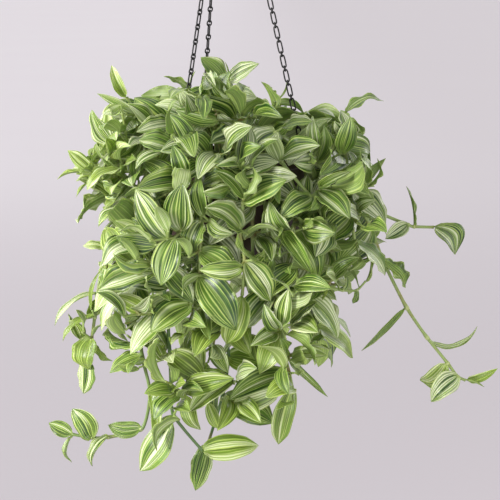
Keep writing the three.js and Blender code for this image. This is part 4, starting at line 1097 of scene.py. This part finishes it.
def shown_shoot(form, draw):
    """A shoot that passes given spots, with a leaf for each."""
    stem = next(s for s in stems if s.name == form["stem"])
    path = [stem.joints[form["joint"]], *(seen(spot) for spot in form["spots"])]
    leaves = []
    for base, spot in zip(path[1:], form["tips"]):
        leaf = leaf_to(base, seen(spot[:3]), spot[3], roll=0.3, bend=0.7, twist=0.3)
        finish_leaf(leaf, draw, fold=0.5)
        placed.add(near_blade(leaf), NEAR_FACES, "leaf")
        leaves.append(leaf)
    placed.add(*near_rod(path), stem.name)
    return SimpleNamespace(path=path, first_joint=1, leaves=leaves, owner=stem.name)


shoots = [shown_shoot(form, draws(SHOWN_SEED + number))
          for number, form in enumerate(SHOWN_SHOOTS + SIDE_SHOOTS)]

CROWN_SHOOTS = 40
CROWN_TRIES = 16
CROWN_TURN = 137.5                # degrees from each shoot of the spiral to the next
CROWN_INSIDE = 12                 # radius where the spiral starts
CROWN_ACROSS = 96                 # how far out from there it ends
FEET_APART = 7
GROWTH_TRIES = 5000
MOST_EXTRA_LEAVES = 620
# Side shoots grow thinly at the low ends of the stems, and at every try higher up
THIN_SHARE = 0.3
THIN_HEIGHT, FULL_HEIGHT = -430, -200


def grow_crown():
    """Short shoots from the soil, set in a spiral, wherever there is room for one."""
    feet = [stem.foot for stem in stems]
    for number in range(CROWN_SHOOTS):
        out = CROWN_INSIDE + CROWN_ACROSS * math.sqrt((number + 0.5) / CROWN_SHOOTS)
        spot = polar(number * CROWN_TURN, out, 0)
        if min(np.linalg.norm(spot - foot) for foot in feet) < FEET_APART:
            continue
        for attempt in range(CROWN_TRIES):
            draw = draws(CROWN_SEED + CROWN_TRIES * number + attempt)
            away = unit(spot) * (np.linalg.norm(spot) / POT_RADIUS)
            heading = UP + away * 0.8 + (np.array([draw(), draw(), draw()]) - 0.5) * 0.9
            steps = [18 + 16 * draw() for _ in range(1 + int(draw() * 3.4))]
            start = spot - UP * ROOT_COLLAR
            bare = 14 + 16 * draw()
            made = grow_shoot(start, heading, steps, 62 + 24 * draw(), draw, "crown", bare)
            if made:
                feet.append(spot)
                shoots.append(made)
                break


def grow_side_shoots():
    """Side shoots from the joints of stems and of other shoots, until the mass is full."""
    buds = []

    def add_buds(joints, owner, first=0):
        for place, (joint, after) in enumerate(zip(joints, joints[1:]), first):
            buds.append((joint, unit(after - joint), place, owner))

    for stem in stems:
        add_buds(stem.joints, stem.name)
    for made in shoots:
        add_buds(made.path[made.first_joint:], made.owner)
    draw = draws(SIDE_SEED)
    leaves = 0
    for _ in range(GROWTH_TRIES):
        joint, along, number, owner = buds[int(draw() * len(buds))]
        if draw() > lerp(THIN_SHARE, 1, rising(THIN_HEIGHT, FULL_HEIGHT, joint[2])):
            continue
        outward = outward_at(joint)
        face = unit(outward - along * (outward @ along))
        side = np.cross(along, face) * (1 if number % 2 == 0 else -1)
        heading = along * (0.9 - 1.1 * draw()) + side * (draw() * 2.4 - 1.2)
        heading = heading + face * (0.2 + draw())
        steps = [13 + 17 * draw() for _ in range(1 + int(draw() * 2.7))]
        made = grow_shoot(joint, heading, steps, 54 + 34 * draw(), draw, owner)
        if not made:
            continue
        shoots.append(made)
        leaves += sum(leaf is not None for leaf in made.leaves)
        add_buds(made.path[1:], owner, 1)
        if leaves >= MOST_EXTRA_LEAVES:
            break


grow_crown()
grow_side_shoots()


# Materials. Colours are red, green and blue as they look on a screen, 0 to 255.

LEAF_GREENS = (36, 65, 22), (92, 127, 42)
LEAF_WASH = (144, 168, 68)
LEAF_STRIPE = (186, 203, 114)
LEAF_CREAM = (222, 230, 188)
LEAF_EDGE = (196, 212, 132)
# yellower green of the paler leaves, partly painted light
LEAF_WARM = (146, 162, 58)
LEAF_FOOT = (156, 178, 96)
LEAF_BACK = (142, 162, 92)
STEM_GREENS = (120, 146, 66), (176, 190, 116)
STEM_DARKS = (58, 92, 44), (92, 124, 66)
STEM_TAN = (140, 122, 70)
SHEATH_PALE = (190, 200, 134)
POT_BROWNS = (46, 30, 24), (74, 50, 38)
WATER_MARK = (128, 112, 92)
WIRE_BLACKS = (13, 13, 14), (32, 31, 32)
WORN_WIRE = (76, 73, 70)
MIX_BROWNS = (30, 21, 16), (78, 56, 40)
MIX_DAMP = (48, 34, 25)
BARK = (92, 60, 38), (140, 100, 66)
WHITE_GRAINS = (196, 190, 178), (232, 228, 218)
FLOOR_PALES = (246, 240, 244), (244, 237, 242)
# painted shade on the floor: darker to the right and near the plant
FLOOR_RIGHT_SHADE = (224, 217, 221)
FLOOR_NEAR_SHADE = (214, 206, 211)


def linear(colour):
    """A screen colour as the materials take it."""
    parts = [value / 255 for value in colour]
    parts = [p / 12.92 if p <= 0.04045 else ((p + 0.055) / 1.055) ** 2.4 for p in parts]
    return (*parts, 1.0)


class Look:
    """A material with one principled shader and a few short ways to add nodes to it."""

    def __init__(self, name, **settings):
        self.material = bpy.data.materials.new(name)
        self.material.use_nodes = True
        self.tree = self.material.node_tree
        self.shader = next(n for n in self.tree.nodes if n.type == "BSDF_PRINCIPLED")
        for setting, value in settings.items():
            socket = setting.replace("_", " ").title().replace("Ior", "IOR")
            self.shader.inputs[socket].default_value = value

    def add(self, kind, inputs, **settings):
        node = self.tree.nodes.new("ShaderNode" + kind)
        for name, value in settings.items():
            setattr(node, name, value)
        for key, value in inputs.items():
            if isinstance(value, bpy.types.NodeSocket):
                self.tree.links.new(value, node.inputs[key])
            else:
                node.inputs[key].default_value = value
        return node

    def math(self, operation, first, second=0.0, third=0.0):
        inputs = {0: first, 1: second, 2: third}
        return self.add("Math", inputs, operation=operation).outputs[0]

    def times(self, first, second):
        return self.math("MULTIPLY", first, second)

    def line(self, value, slope, start):
        """The value times slope, plus start."""
        return self.math("MULTIPLY_ADD", value, slope, start)

    def ease(self, value, low, high, floor=0.0, top=1.0):
        inputs = {"Value": value, 1: low, 2: high, 3: floor, 4: top}
        return self.add("MapRange", inputs, interpolation_type="SMOOTHSTEP").outputs[0]

    def mix(self, share, first, second):
        """Some of the first colour and, by the share, some of the second."""
        pair = [linear(c) if isinstance(c, tuple) else c for c in (first, second)]
        return self.add("Mix", {0: share, 6: pair[0], 7: pair[1]}, data_type="RGBA").outputs[2]

    def tint(self, colour, other, share, most):
        """The colour with some of another, by the share times the most there is."""
        return self.mix(self.times(share, most), colour, other)

    def spread(self, x, y, z):
        return self.add("CombineXYZ", {0: x, 1: y, 2: z}).outputs[0]

    def split(self, vector):
        return self.add("SeparateXYZ", {0: vector}).outputs

    def cloud(self, place, scale, detail=2.0, roughness=0.5):
        inputs = {"Vector": place, "Scale": scale, "Detail": detail, "Roughness": roughness}
        return self.add("TexNoise", inputs).outputs[0]

    def value(self, name):
        """The three numbers of an attribute of the mesh."""
        return self.split(self.add("Attribute", {}, attribute_name=name).outputs["Vector"])

    def place(self):
        """Where a point is, in metres from the hook's bearing point."""
        return self.add("TexCoord", {}).outputs["Object"]

    def give(self, colour, roughness=None, height=None, distance=0.0003, strength=1.0):
        """The material with this colour, roughness and height of its surface."""
        self.tree.links.new(colour, self.shader.inputs["Base Color"])
        if roughness is not None:
            self.tree.links.new(roughness, self.shader.inputs["Roughness"])
        if height is not None:
            inputs = {"Height": height, "Distance": distance, "Strength": strength}
            bump = self.add("Bump", inputs)
            self.tree.links.new(bump.outputs[0], self.shader.inputs["Normal"])
        return self.material


def leaf_material():
    """Green with thin pale stripes that run from base to tip, cream in the middle of some leaves, and
    painted light and shade by where a leaf hangs.
    """
    look = Look("striped_leaf", subsurface_weight=0.14, subsurface_scale=0.002,
                subsurface_radius=(0.7, 1.0, 0.2), specular_ior_level=0.5)
    across, along, seed = look.value("blade")
    cream, tone, under = look.value("look")
    # each leaf reads its own part of the noise, drawn out along the blade
    own = look.times(seed, 61.0)
    other = look.math("ADD", own, 9.0)
    bend = look.cloud(look.spread(look.times(along, 1.3), own, 0.0), 1.6)
    wander = look.line(look.math("SUBTRACT", bend, 0.5), 0.14, across)
    stretched = look.times(along, 0.16)
    broad = look.cloud(look.spread(wander, stretched, own), 1.9, 1.0)
    stripes = look.cloud(look.spread(wander, stretched, other), 6.5, 1.5, 0.4)
    fine = look.cloud(look.spread(wander, look.times(along, 0.5), own), 26.0)
    uneven = look.cloud(look.spread(wander, 0.0, other), 2.6, 1.0)
    veins = look.math("COSINE", look.times(look.line(uneven, 0.45, wander), 29.0))
    # dark green to green across the blade
    green = look.mix(look.ease(stripes, 0.36, 0.6), *LEAF_GREENS)
    green = look.tint(green, LEAF_WASH, look.ease(broad, 0.44, 0.68), 0.5)
    # thin pale stripes along the veins, stronger here and there, and a broad cream one
    thin = look.ease(veins, 0.3, 0.9)
    green = look.tint(green, LEAF_STRIPE, thin, look.ease(stripes, 0.42, 0.58, 0.32, 0.96))
    # the cream band is also a painted glow on leaves high at the left, lit from behind
    middle = look.ease(look.line(cream, 0.24, broad), 0.63, 0.74)
    band = look.times(middle, look.ease(veins, -0.5, 0.5, 0.25))
    green = look.tint(green, LEAF_CREAM, band, 0.92)
    edge = look.ease(look.math("ABSOLUTE", across), 0.93, 1.0)
    green = look.tint(green, LEAF_EDGE, edge, 0.5)
    # whole leaves differ a little, each is made lighter and yellower or darker by painted light and
    # shade for where it hangs, and the foot of a leaf is paler
    green = look.mix(0.3, green, look.mix(look.ease(tone, 0.5, 1.0), green, LEAF_WARM))
    green = look.tint(green, LEAF_FOOT, look.ease(along, 0.16, 0.0), 0.6)
    dim = look.times(look.line(fine, 0.3, 0.85), look.line(tone, 0.36, 0.78))
    green = look.add("VectorMath", {0: green, "Scale": dim}, operation="SCALE").outputs[0]
    green = look.mix(under, green, look.mix(0.5, green, LEAF_BACK))
    rough = look.math("ADD", look.line(fine, 0.18, 0.26), look.times(under, 0.12))
    height = look.math("ADD", look.times(thin, 0.7), look.times(fine, 0.3))
    return look.give(green, rough, height, 0.0003, 0.6)


def stem_material():
    """Green stems, tan in patches, with a pale sheath at each joint."""
    look = Look("leafy_stem", subsurface_weight=0.1, subsurface_scale=0.002,
                subsurface_radius=(0.7, 1.0, 0.25))
    around, along, seed = look.value("blade")
    depth = look.value("look")[0]
    streaks = look.cloud(look.spread(look.times(around, 3.0), along, seed), 3.0, 3.0)
    patches = look.cloud(look.place(), 38.0, 3.0)
    green = look.mix(depth, look.mix(streaks, *STEM_GREENS), look.mix(streaks, *STEM_DARKS))
    green = look.mix(look.ease(patches, 0.5, 0.75), green, STEM_TAN)
    sheath = look.times(look.ease(along, 0.13, 0.1), look.ease(along, 0.0, 0.02))
    green = look.tint(green, SHEATH_PALE, sheath, 0.6)
    return look.give(green, look.line(patches, 0.25, 0.32), streaks, 0.0004, 0.5)


def pot_material():
    """Dark brown moulded plastic with fine scuffs, and water marks that run down it."""
    look = Look("brown_plastic")
    place = look.place()
    grain = look.cloud(place, 900.0)
    patches = look.cloud(place, 22.0, 4.0, 0.6)
    x, y, z = look.split(place)
    runs = look.cloud(look.spread(look.times(x, 60.0), look.times(y, 60.0), look.times(z, 4.0)),
                      1.0, 3.0)
    marks = look.ease(runs, 0.58, 0.78)
    brown = look.tint(look.mix(patches, *POT_BROWNS), WATER_MARK, marks, 0.4)
    rough = look.line(patches, 0.3, look.line(marks, 0.2, 0.28))
    height = look.line(grain, 0.4, look.times(patches, 0.6))
    return look.give(brown, rough, height, 0.0003, 0.5)


def wire_material():
    """Black painted wire, worn a little where links rub."""
    look = Look("black_wire", metallic=0.35)
    place = look.place()
    grain = look.cloud(place, 700.0, 3.0)
    patches = look.cloud(place, 140.0, 3.0)
    worn = look.ease(grain, 0.62, 0.74)
    black = look.tint(look.mix(patches, *WIRE_BLACKS), WORN_WIRE, worn, 0.4)
    return look.give(black, look.line(grain, 0.3, 0.3), grain, 0.0002, 0.5)


def soil_material():
    """Potting mix: dark crumbs, fibres of bark and white grains."""
    look = Look("potting_mix")
    place = look.place()
    kind = look.value("look")[0]
    crumbs = look.cloud(place, 420.0, 4.0, 0.7)
    patches = look.cloud(place, 60.0, 3.0)
    colour = look.mix(look.ease(patches, 0.4, 0.7), look.mix(crumbs, *MIX_BROWNS), MIX_DAMP)
    colour = look.mix(look.ease(kind, 0.2, 0.4), colour, look.mix(crumbs, *BARK))
    colour = look.mix(look.ease(kind, 0.7, 0.8), colour, look.mix(crumbs, *WHITE_GRAINS))
    return look.give(colour, look.line(crumbs, 0.2, 0.78), crumbs, 0.0015, 0.9)


leaf_look, stem_look = leaf_material(), stem_material()
pot_look, wire_look, soil_look = pot_material(), wire_material(), soil_material()


# The plant: a piece for each leafy stem of the model, and one for the short shoots of the crown

YOUNG_FOLD = 1.15                 # how far the blade of a young leaf is rolled up, in radians


def add_young_leaf(shape, path, draw):
    """The rolled leaf that the end of a stem pushes out."""
    along = unit(path[-1] - path[-2])
    side = np.cross(along, UP) + 0.01
    chord = unit(along + side * (draw() - 0.5) * 0.6 + UP * 0.15)
    length = 20 + 18 * draw()
    leaf = leaf_along(path[-1], chord, length, draw() * 2 - 1, length * 0.2, 0.3, 0.5)
    finish_leaf(leaf, draw, fold=YOUNG_FOLD, wave=0.0)
    near = near_blade(leaf)
    if placed.clear(near, NEAR_FACES):
        placed.add(near, NEAR_FACES, "leaf")
        add_blade(shape, leaf)


def add_leaves(shape, leaves):
    for leaf in leaves:
        if leaf is not None:
            add_blade(shape, leaf)


def add_shoots(shape, owner, draw):
    for made in shoots:
        if made.owner == owner:
            add_stem(shape, made.path, made.first_joint, SHOOT_RADIUS, SHOOT_TIP_RADIUS, draw())
            add_leaves(shape, made.leaves)


# How dark a green the stems have that differ from the rest
DARK_STEMS = {"bottom_left": 0.6, "bottom_middle": 0.9, "bottom_tip": 1.0, "lower_left": 0.4}
PLANT_LOOKS = [stem_look, leaf_look]


def stem_piece(stem, draw):
    shape = Shape()
    depth = DARK_STEMS.get(stem.name, PLAIN_GREEN)
    add_stem(shape, stem.line, 2 + len(stem.lead), STEM_RADIUS, STEM_TIP_RADIUS, draw(), depth)
    add_leaves(shape, stem.grown)
    add_young_leaf(shape, stem.line, draw)
    add_shoots(shape, stem.name, draw)
    name = "foliage_" + stem.name
    shape.piece(name, PLANT_LOOKS, ["leafy_stem_" + stem.name], read=True)


def crown_piece():
    shape = Shape()
    add_shoots(shape, "crown", draws(CROWN_PIECE_SEED))
    shape.piece("foliage_crown_shoots", PLANT_LOOKS, read=True)


for index, stem in enumerate(stems):
    stem_piece(stem, draws(PIECE_SEED + index))
crown_piece()


# Chains and hook

LOOP_SIDES = 8                    # sides of the wire that links and loops are bent from
LOOP_SHOULDER = 15                # height up to which a rim loop is at its widest
HOOK_SIDES = 14
EYE_STEPS = 56
HOOK_STEPS = 90
HOOK_OPEN = 205                   # degrees that the hook's bend goes round
# The hook's cut end is a small dome: how far ahead of the end each ring is and how wide
HOOK_END = [(0.5, 0.86), (0.9, 0.5), (1.0, 0.15)]


def rounded(corners):
    """The closed outline with its corners cut twice."""
    corners = np.array(corners, float)
    for _ in range(2):
        after = np.roll(corners, -1, 0)
        near, far = 0.75 * corners + 0.25 * after, 0.25 * corners + 0.75 * after
        corners = np.stack([near, far], 1).reshape(-1, 2)
    return corners


def mirrored(right):
    """The rounded outline whose right half is given, from its foot up."""
    left = [(-x, y) for x, y in right[::-1]]
    return rounded([left[-1], *right, *left[:-1]])


def wire_loop(shape, corners, centre, across, along, wire, sides=LOOP_SIDES):
    path = centre + np.outer(corners[:, 0], across) + np.outer(corners[:, 1], along)
    shape.add(*tube(path, wire, sides, closed=True, face=unit(np.cross(across, along))))


def link_outline(half_length, half_width):
    end, low = 0.5 * half_width, half_length - 0.6 * half_width
    return mirrored([(end, -half_length), (half_width, -low), (half_width, low),
                     (end, half_length)])


def rim_loop_outline():
    side = LOOP_HALF_WIDTH
    return mirrored([(side - 3, 0), (side, 4), (side, LOOP_SHOULDER), (2, LOOP_LENGTH)])


def chain_piece(name):
    """A loop that holds the rim, short and long links by turns, and a wide link on the eye."""
    top, foot, along, eye_wire = chain_line(name)
    outward = radial(CHAIN_ANGLES[name])
    outward = unit(outward - along * (outward @ along))
    shape = Shape()
    wire_loop(shape, rim_loop_outline(), foot, outward, along, LOOP_WIRE)
    slant = np.linalg.norm(np.cross(eye_wire, along))
    seat = END_LINK[0] - (EYE_WIRE + GAP) / slant - GAP - 1
    end_centre = top - along * seat
    start = LOOP_LENGTH - LINK_OVERLAP
    finish = np.linalg.norm(end_centre - foot) - END_LINK[0] + LINK_OVERLAP
    pitch = (finish - start) / (CHAIN_PAIRS + 0.5)
    short_span = 2 * SHORT_LINK[0] - LINK_OVERLAP
    long_link = ((pitch - short_span + LINK_OVERLAP) / 2, LONG_HALF_WIDTH)
    reach = start + (finish - start - CHAIN_PAIRS * pitch - short_span) / 2
    turned_axis = unit(np.cross(outward, along))
    for i in range(2 * CHAIN_PAIRS + 1):
        link, across = (SHORT_LINK, turned_axis) if i % 2 == 0 else (long_link, outward)
        half = link[0] - LINK_OVERLAP / 2
        wire_loop(shape, link_outline(*link), foot + along * (reach + half), across, along, LINK_WIRE)
        reach += 2 * half
    across = unit(np.cross(eye_wire, along))
    wire_loop(shape, link_outline(*END_LINK), end_centre, across, along, END_WIRE)
    shape.piece(name.replace("chain_", "link_chain_"), [wire_look], [name])


def hook_piece():
    """A closed eye for the chains and, above it, a round bend that hangs on its support."""
    shape = Shape()
    turn = full_turn(EYE_STEPS)
    centre = UP * (APEX_HEIGHT + EYE_RADIUS)
    circle = EYE_RADIUS * np.stack([np.cos(turn), np.sin(turn)], 1)
    wire_loop(shape, circle, centre, np.array([1.0, 0, 0]), UP, EYE_WIRE, HOOK_SIDES)
    bend_centre = RIM_DROP + EYE_WIRE - BEND_RADIUS
    eye_top = APEX_HEIGHT + 2 * EYE_RADIUS
    points = []
    for degrees in np.linspace(HOOK_OPEN, 0, 9):
        angle = math.radians(degrees)
        height = bend_centre + BEND_RADIUS * math.sin(angle)
        points.append(np.array([BEND_RADIUS * math.cos(angle), 0, height]))
    points.append(np.array([BEND_RADIUS * 0.7, 0, bend_centre - 10]))
    points.append(np.array([2, 0, eye_top + 8]))
    points.append(np.array([0, 0, eye_top - 0.5]))
    path = [curve_point(points, i / HOOK_STEPS) for i in range(HOOK_STEPS + 1)]
    radii = [EYE_WIRE] * len(path)
    tip = unit(path[0] - path[1])
    for ahead, share in HOOK_END:
        path.insert(0, points[0] + tip * EYE_WIRE * ahead * 0.8)
        radii.insert(0, EYE_WIRE * share)
    shape.add(*tube(path, np.array(radii), HOOK_SIDES))
    shape.piece("round_hanger_hook", [wire_look], ["hanger_hook"])


for chain_name in CHAIN_ANGLES:
    chain_piece(chain_name)
hook_piece()


# Pot and soil

POT_PROFILE = [
    (0.5, -POT_DEPTH), (60, -POT_DEPTH), (66, -POT_DEPTH), (69, -POT_DEPTH + 0.4),
    (71.5, -POT_DEPTH + 1.4), (88, -POT_DEPTH + 8), (91, -POT_DEPTH + 11.5), (99, -POT_DEPTH + 24),
    (106, -POT_DEPTH + 38), (108, -POT_DEPTH + 44), (112, -105), (116, -85), (117, -78),
    (120, -42), (121.8, -BAND_HEIGHT - 2.2), (122.3, -BAND_HEIGHT - 1), (123.2, -BAND_HEIGHT - 0.3),
    (124.6, -BAND_HEIGHT), (125.2, -BAND_HEIGHT + 0.7), (125.6, -7), (126, -2.4), (125.8, -1),
    (125, -0.3), (124, 0), (121.4, 0), (120.8, -0.4), (120.4, -1.4), (119.2, -BAND_HEIGHT - 1),
    (117.4, -42), (113.4, -85), (103.4, -POT_DEPTH + 38), (96, -POT_DEPTH + 24),
    (85.8, -POT_DEPTH + 9), (70, -POT_DEPTH + POT_WALL), (0.5, -POT_DEPTH + POT_WALL),
]
POT_SIDES = 112
DRAIN_SIDES = 24
FIRST_DRAIN = 45                  # degrees round to the first drain hole
CUT_BELOW, CUT_ABOVE = 6, 8       # how far a drain hole's cutter goes past the pot's foot
SLOT_REACH = 9                    # how far a slot's cutter goes in and out of the wall's middle
SHARP_CORNER = math.radians(38)
BOX_FACES = [[3, 2, 1, 0], [4, 5, 6, 7], [0, 1, 5, 4], [1, 2, 6, 5], [2, 3, 7, 6], [3, 0, 4, 7]]


def pot_cutter():
    """The drain holes and the slots for the chains, as one mesh."""
    shape = Shape()
    for i in range(DRAIN_HOLES):
        spot = polar(FIRST_DRAIN + i * 360 / DRAIN_HOLES, DRAIN_CIRCLE, -POT_DEPTH)
        ends = [spot - UP * CUT_BELOW, spot + UP * CUT_ABOVE]
        shape.add(*tube(ends, DRAIN_RADIUS, DRAIN_SIDES))
    for degrees in CHAIN_ANGLES.values():
        out = radial(degrees)
        side = np.cross(UP, out)
        centre = out * (POT_RADIUS - POT_WALL / 2) + UP * (SLOT_TOP - SLOT_HEIGHT / 2)
        corners = [centre + out * away + side * a * SLOT_WIDTH / 2 + UP * b * SLOT_HEIGHT / 2
                   for away in (-SLOT_REACH, SLOT_REACH)
                   for a, b in ((-1, -1), (1, -1), (1, 1), (-1, 1))]
        shape.add(np.array(corners), BOX_FACES)
    return shape.as_object("cutter")


def pot_piece():
    shape = Shape()
    shape.add(*lathe(POT_PROFILE, POT_SIDES, capped=True))
    made = shape.piece("round_pot", [pot_look], ["pot"])
    cutter = pot_cutter()
    cut = made.modifiers.new("holes", "BOOLEAN")
    cut.operation, cut.solver, cut.object = "DIFFERENCE", "EXACT", cutter
    graph = bpy.context.evaluated_depsgraph_get()
    mesh = bpy.data.meshes.new_from_object(made.evaluated_get(graph))
    made.modifiers.clear()
    made.data = mesh
    bpy.data.objects.remove(cutter)
    mesh.set_sharp_from_angle(angle=SHARP_CORNER)


SOIL_SIDES = 96
SOIL_RINGS = 44
SOIL_DIP = 60                     # radius where the soil's surface starts to fall to its edge
SOIL_EDGE = 118.3
SOIL_RIM = 117.7                  # radius of the outermost ring of the surface
SOIL_BUMPS = [(9, 0.0, 1.3), (3, 4.0, 0.5)]   # size, layer and height of the surface's bumps
SOIL_WALL = [(0.5, 4 - POT_DEPTH), (69, 4 - POT_DEPTH), (85, 10 - POT_DEPTH),
             (102.4, 39 - POT_DEPTH), (112.6, -86), (116.4, -43), (117.9, -SOIL_EDGE_DROP - 2)]
CRUMBS = 900
CRUMB_SIDES = 6
CRUMB_RINGS = [(0.3, -1.0), (0.85, -0.5), (1.0, 0.1), (0.7, 0.7), (0.25, 1.0)]
CRUMB_REACH = 114                 # radius within which the crumbs lie
DARK_CRUMBS, BARK_CRUMBS = 0.6, 0.86


def crumb(draw, size):
    """A small lump of potting mix as corners about its middle and faces."""
    points = []
    for radius, height in CRUMB_RINGS:
        for k in range(CRUMB_SIDES):
            turn = 2 * math.pi * k / CRUMB_SIDES
            wobble = 0.75 + 0.5 * draw()
            points.append([radius * wobble * math.cos(turn), radius * wobble * math.sin(turn), height])
    stretch = np.array([0.6 + 0.9 * draw(), 0.5 + 0.6 * draw(), 0.4 + 0.4 * draw()]) * size
    spin = Matrix.Rotation(draw() * 6.28, 3, "Z") @ Matrix.Rotation((draw() - 0.5) * 1.2, 3, "X")
    faces = ring_faces(len(CRUMB_RINGS), CRUMB_SIDES, capped=True)
    return np.array(points) * stretch @ np.array(spin).T, faces


def soil_height(x, y):
    radius = math.hypot(x, y)
    if radius < SOIL_DIP:
        height = lerp(-SOIL_DROP, -SOIL_DROP - 2, radius / SOIL_DIP)
    else:
        share = (radius - SOIL_DIP) / (SOIL_EDGE - SOIL_DIP)
        height = lerp(-SOIL_DROP - 2, -SOIL_EDGE_DROP, share)
    rough = sum(noise.noise((x / wide, y / wide, layer)) * high for wide, layer, high in SOIL_BUMPS)
    return height + rough


def soil_piece():
    """The potting mix with an uneven surface, strewn with crumbs, bark and white grains."""
    shape = Shape()
    surface = [(radius, -SOIL_EDGE_DROP) for radius in np.linspace(SOIL_RIM, 0.5, SOIL_RINGS)]
    points, faces = lathe(SOIL_WALL + surface, SOIL_SIDES, capped=True)
    for i in range(len(SOIL_WALL) * SOIL_SIDES, len(points)):
        points[i, 2] = soil_height(points[i, 0], points[i, 1])
    shape.add(points, faces)
    draw = draws(CRUMB_SEED)
    for _ in range(CRUMBS):
        size = 0.8 + 2.2 * draw() ** 2
        reach = (CRUMB_REACH - size) * math.sqrt(draw())
        turn = draw() * 2 * math.pi
        x, y = reach * math.cos(turn), reach * math.sin(turn)
        lump, sides = crumb(draw, size)
        pick = draw()
        kind = 0.0 if pick < DARK_CRUMBS else 0.5 if pick < BARK_CRUMBS else 1.0
        place = np.array([x, y, soil_height(x, y) + 0.15 * size])
        shape.add(lump + place, sides, look=(kind, 0, 0))
    shape.piece("potting_mix", [soil_look], ["soil"], read=True)


pot_piece()
soil_piece()


# Stage: a pale floor far below with painted shade to its right and near the plant, soft light and the
# camera at the picture's viewpoint, in metres

FLOOR_HALF = 240.0
FLOOR_HEIGHT = -2.3
MIDDLE = (0.0, 0.0, -0.75)
FRONT_LOW = (0.02, 0.0, -0.9)
LIGHT_SPREAD = math.radians(50)
# Each lamp's place, size, power, colour and what it aims at
LAMPS = {
    "key": ((-2.6, -2.0, 0.2), 1.2, 12, (1.0, 0.98, 0.95), MIDDLE),
    "fill": ((0.9, -3.0, -1.6), 2.0, 4.2, (0.98, 0.99, 1.0), FRONT_LOW),
    "back_left": ((-2.9, 1.0, 0.4), 1.8, 7, (0.98, 0.98, 1.0), MIDDLE),
    "back_right": ((2.2, 2.2, 0.4), 1.8, 3, (1.0, 0.98, 0.97), MIDDLE),
}
SKY_COLOUR = (0.99, 0.99, 1.0, 1.0)
SKY_STRENGTH = 0.84
SENSOR_WIDTH = 36.0


def floor():
    half = FLOOR_HALF
    corners = [(x, y, FLOOR_HEIGHT) for x, y in ((-half, -half), (half, -half), (half, half),
                                                 (-half, half))]
    mesh = bpy.data.meshes.new("floor")
    mesh.from_pydata(corners, [], [[0, 1, 2, 3]])
    look = Look("pale_floor", roughness=0.9, specular_ior_level=0.1)
    place = look.place()
    across, away, _ = look.split(place)
    pale = look.mix(look.cloud(place, 0.4), *FLOOR_PALES)
    # painted shade: the floor darkens to the right and towards the plant
    pale = look.mix(look.ease(across, -3.0, 3.0, 0.0, 0.7), pale, FLOOR_RIGHT_SHADE)
    pale = look.mix(look.ease(away, 14.0, 5.0, 0.0, 0.6), pale, FLOOR_NEAR_SHADE)
    mesh.materials.append(look.give(pale))
    shown("floor", mesh)


def area_light(name, place, size, power, colour, target):
    data = bpy.data.lights.new(name, "AREA")
    data.shape, data.size, data.energy, data.color = "DISK", size, power, colour
    data.spread = LIGHT_SPREAD
    lamp = shown(name, data)
    lamp.location = place
    lamp.rotation_euler = (Vector(target) - Vector(place)).to_track_quat("-Z", "Y").to_euler()


def sky():
    world = bpy.data.worlds.new("studio")
    world.use_nodes = True
    background = world.node_tree.nodes["Background"]
    background.inputs["Color"].default_value = SKY_COLOUR
    background.inputs["Strength"].default_value = SKY_STRENGTH
    bpy.context.scene.world = world


def camera():
    data = bpy.data.cameras.new("camera")
    data.sensor_width = SENSOR_WIDTH
    data.lens = SENSOR_WIDTH * VIEW_DISTANCE / VIEW_WIDTH
    made = shown("camera", data)
    back = Vector(TO_VIEWER)
    made.location = Vector(in_metres(VIEW_AIM)) + back * (VIEW_DISTANCE / 1000)
    made.rotation_euler = (-back).to_track_quat("-Z", "Y").to_euler()
    bpy.context.scene.camera = made


floor()
for lamp_name, settings in LAMPS.items():
    area_light(lamp_name, *settings)
sky()
camera()
bpy.context.scene.view_settings.view_transform = "Standard"
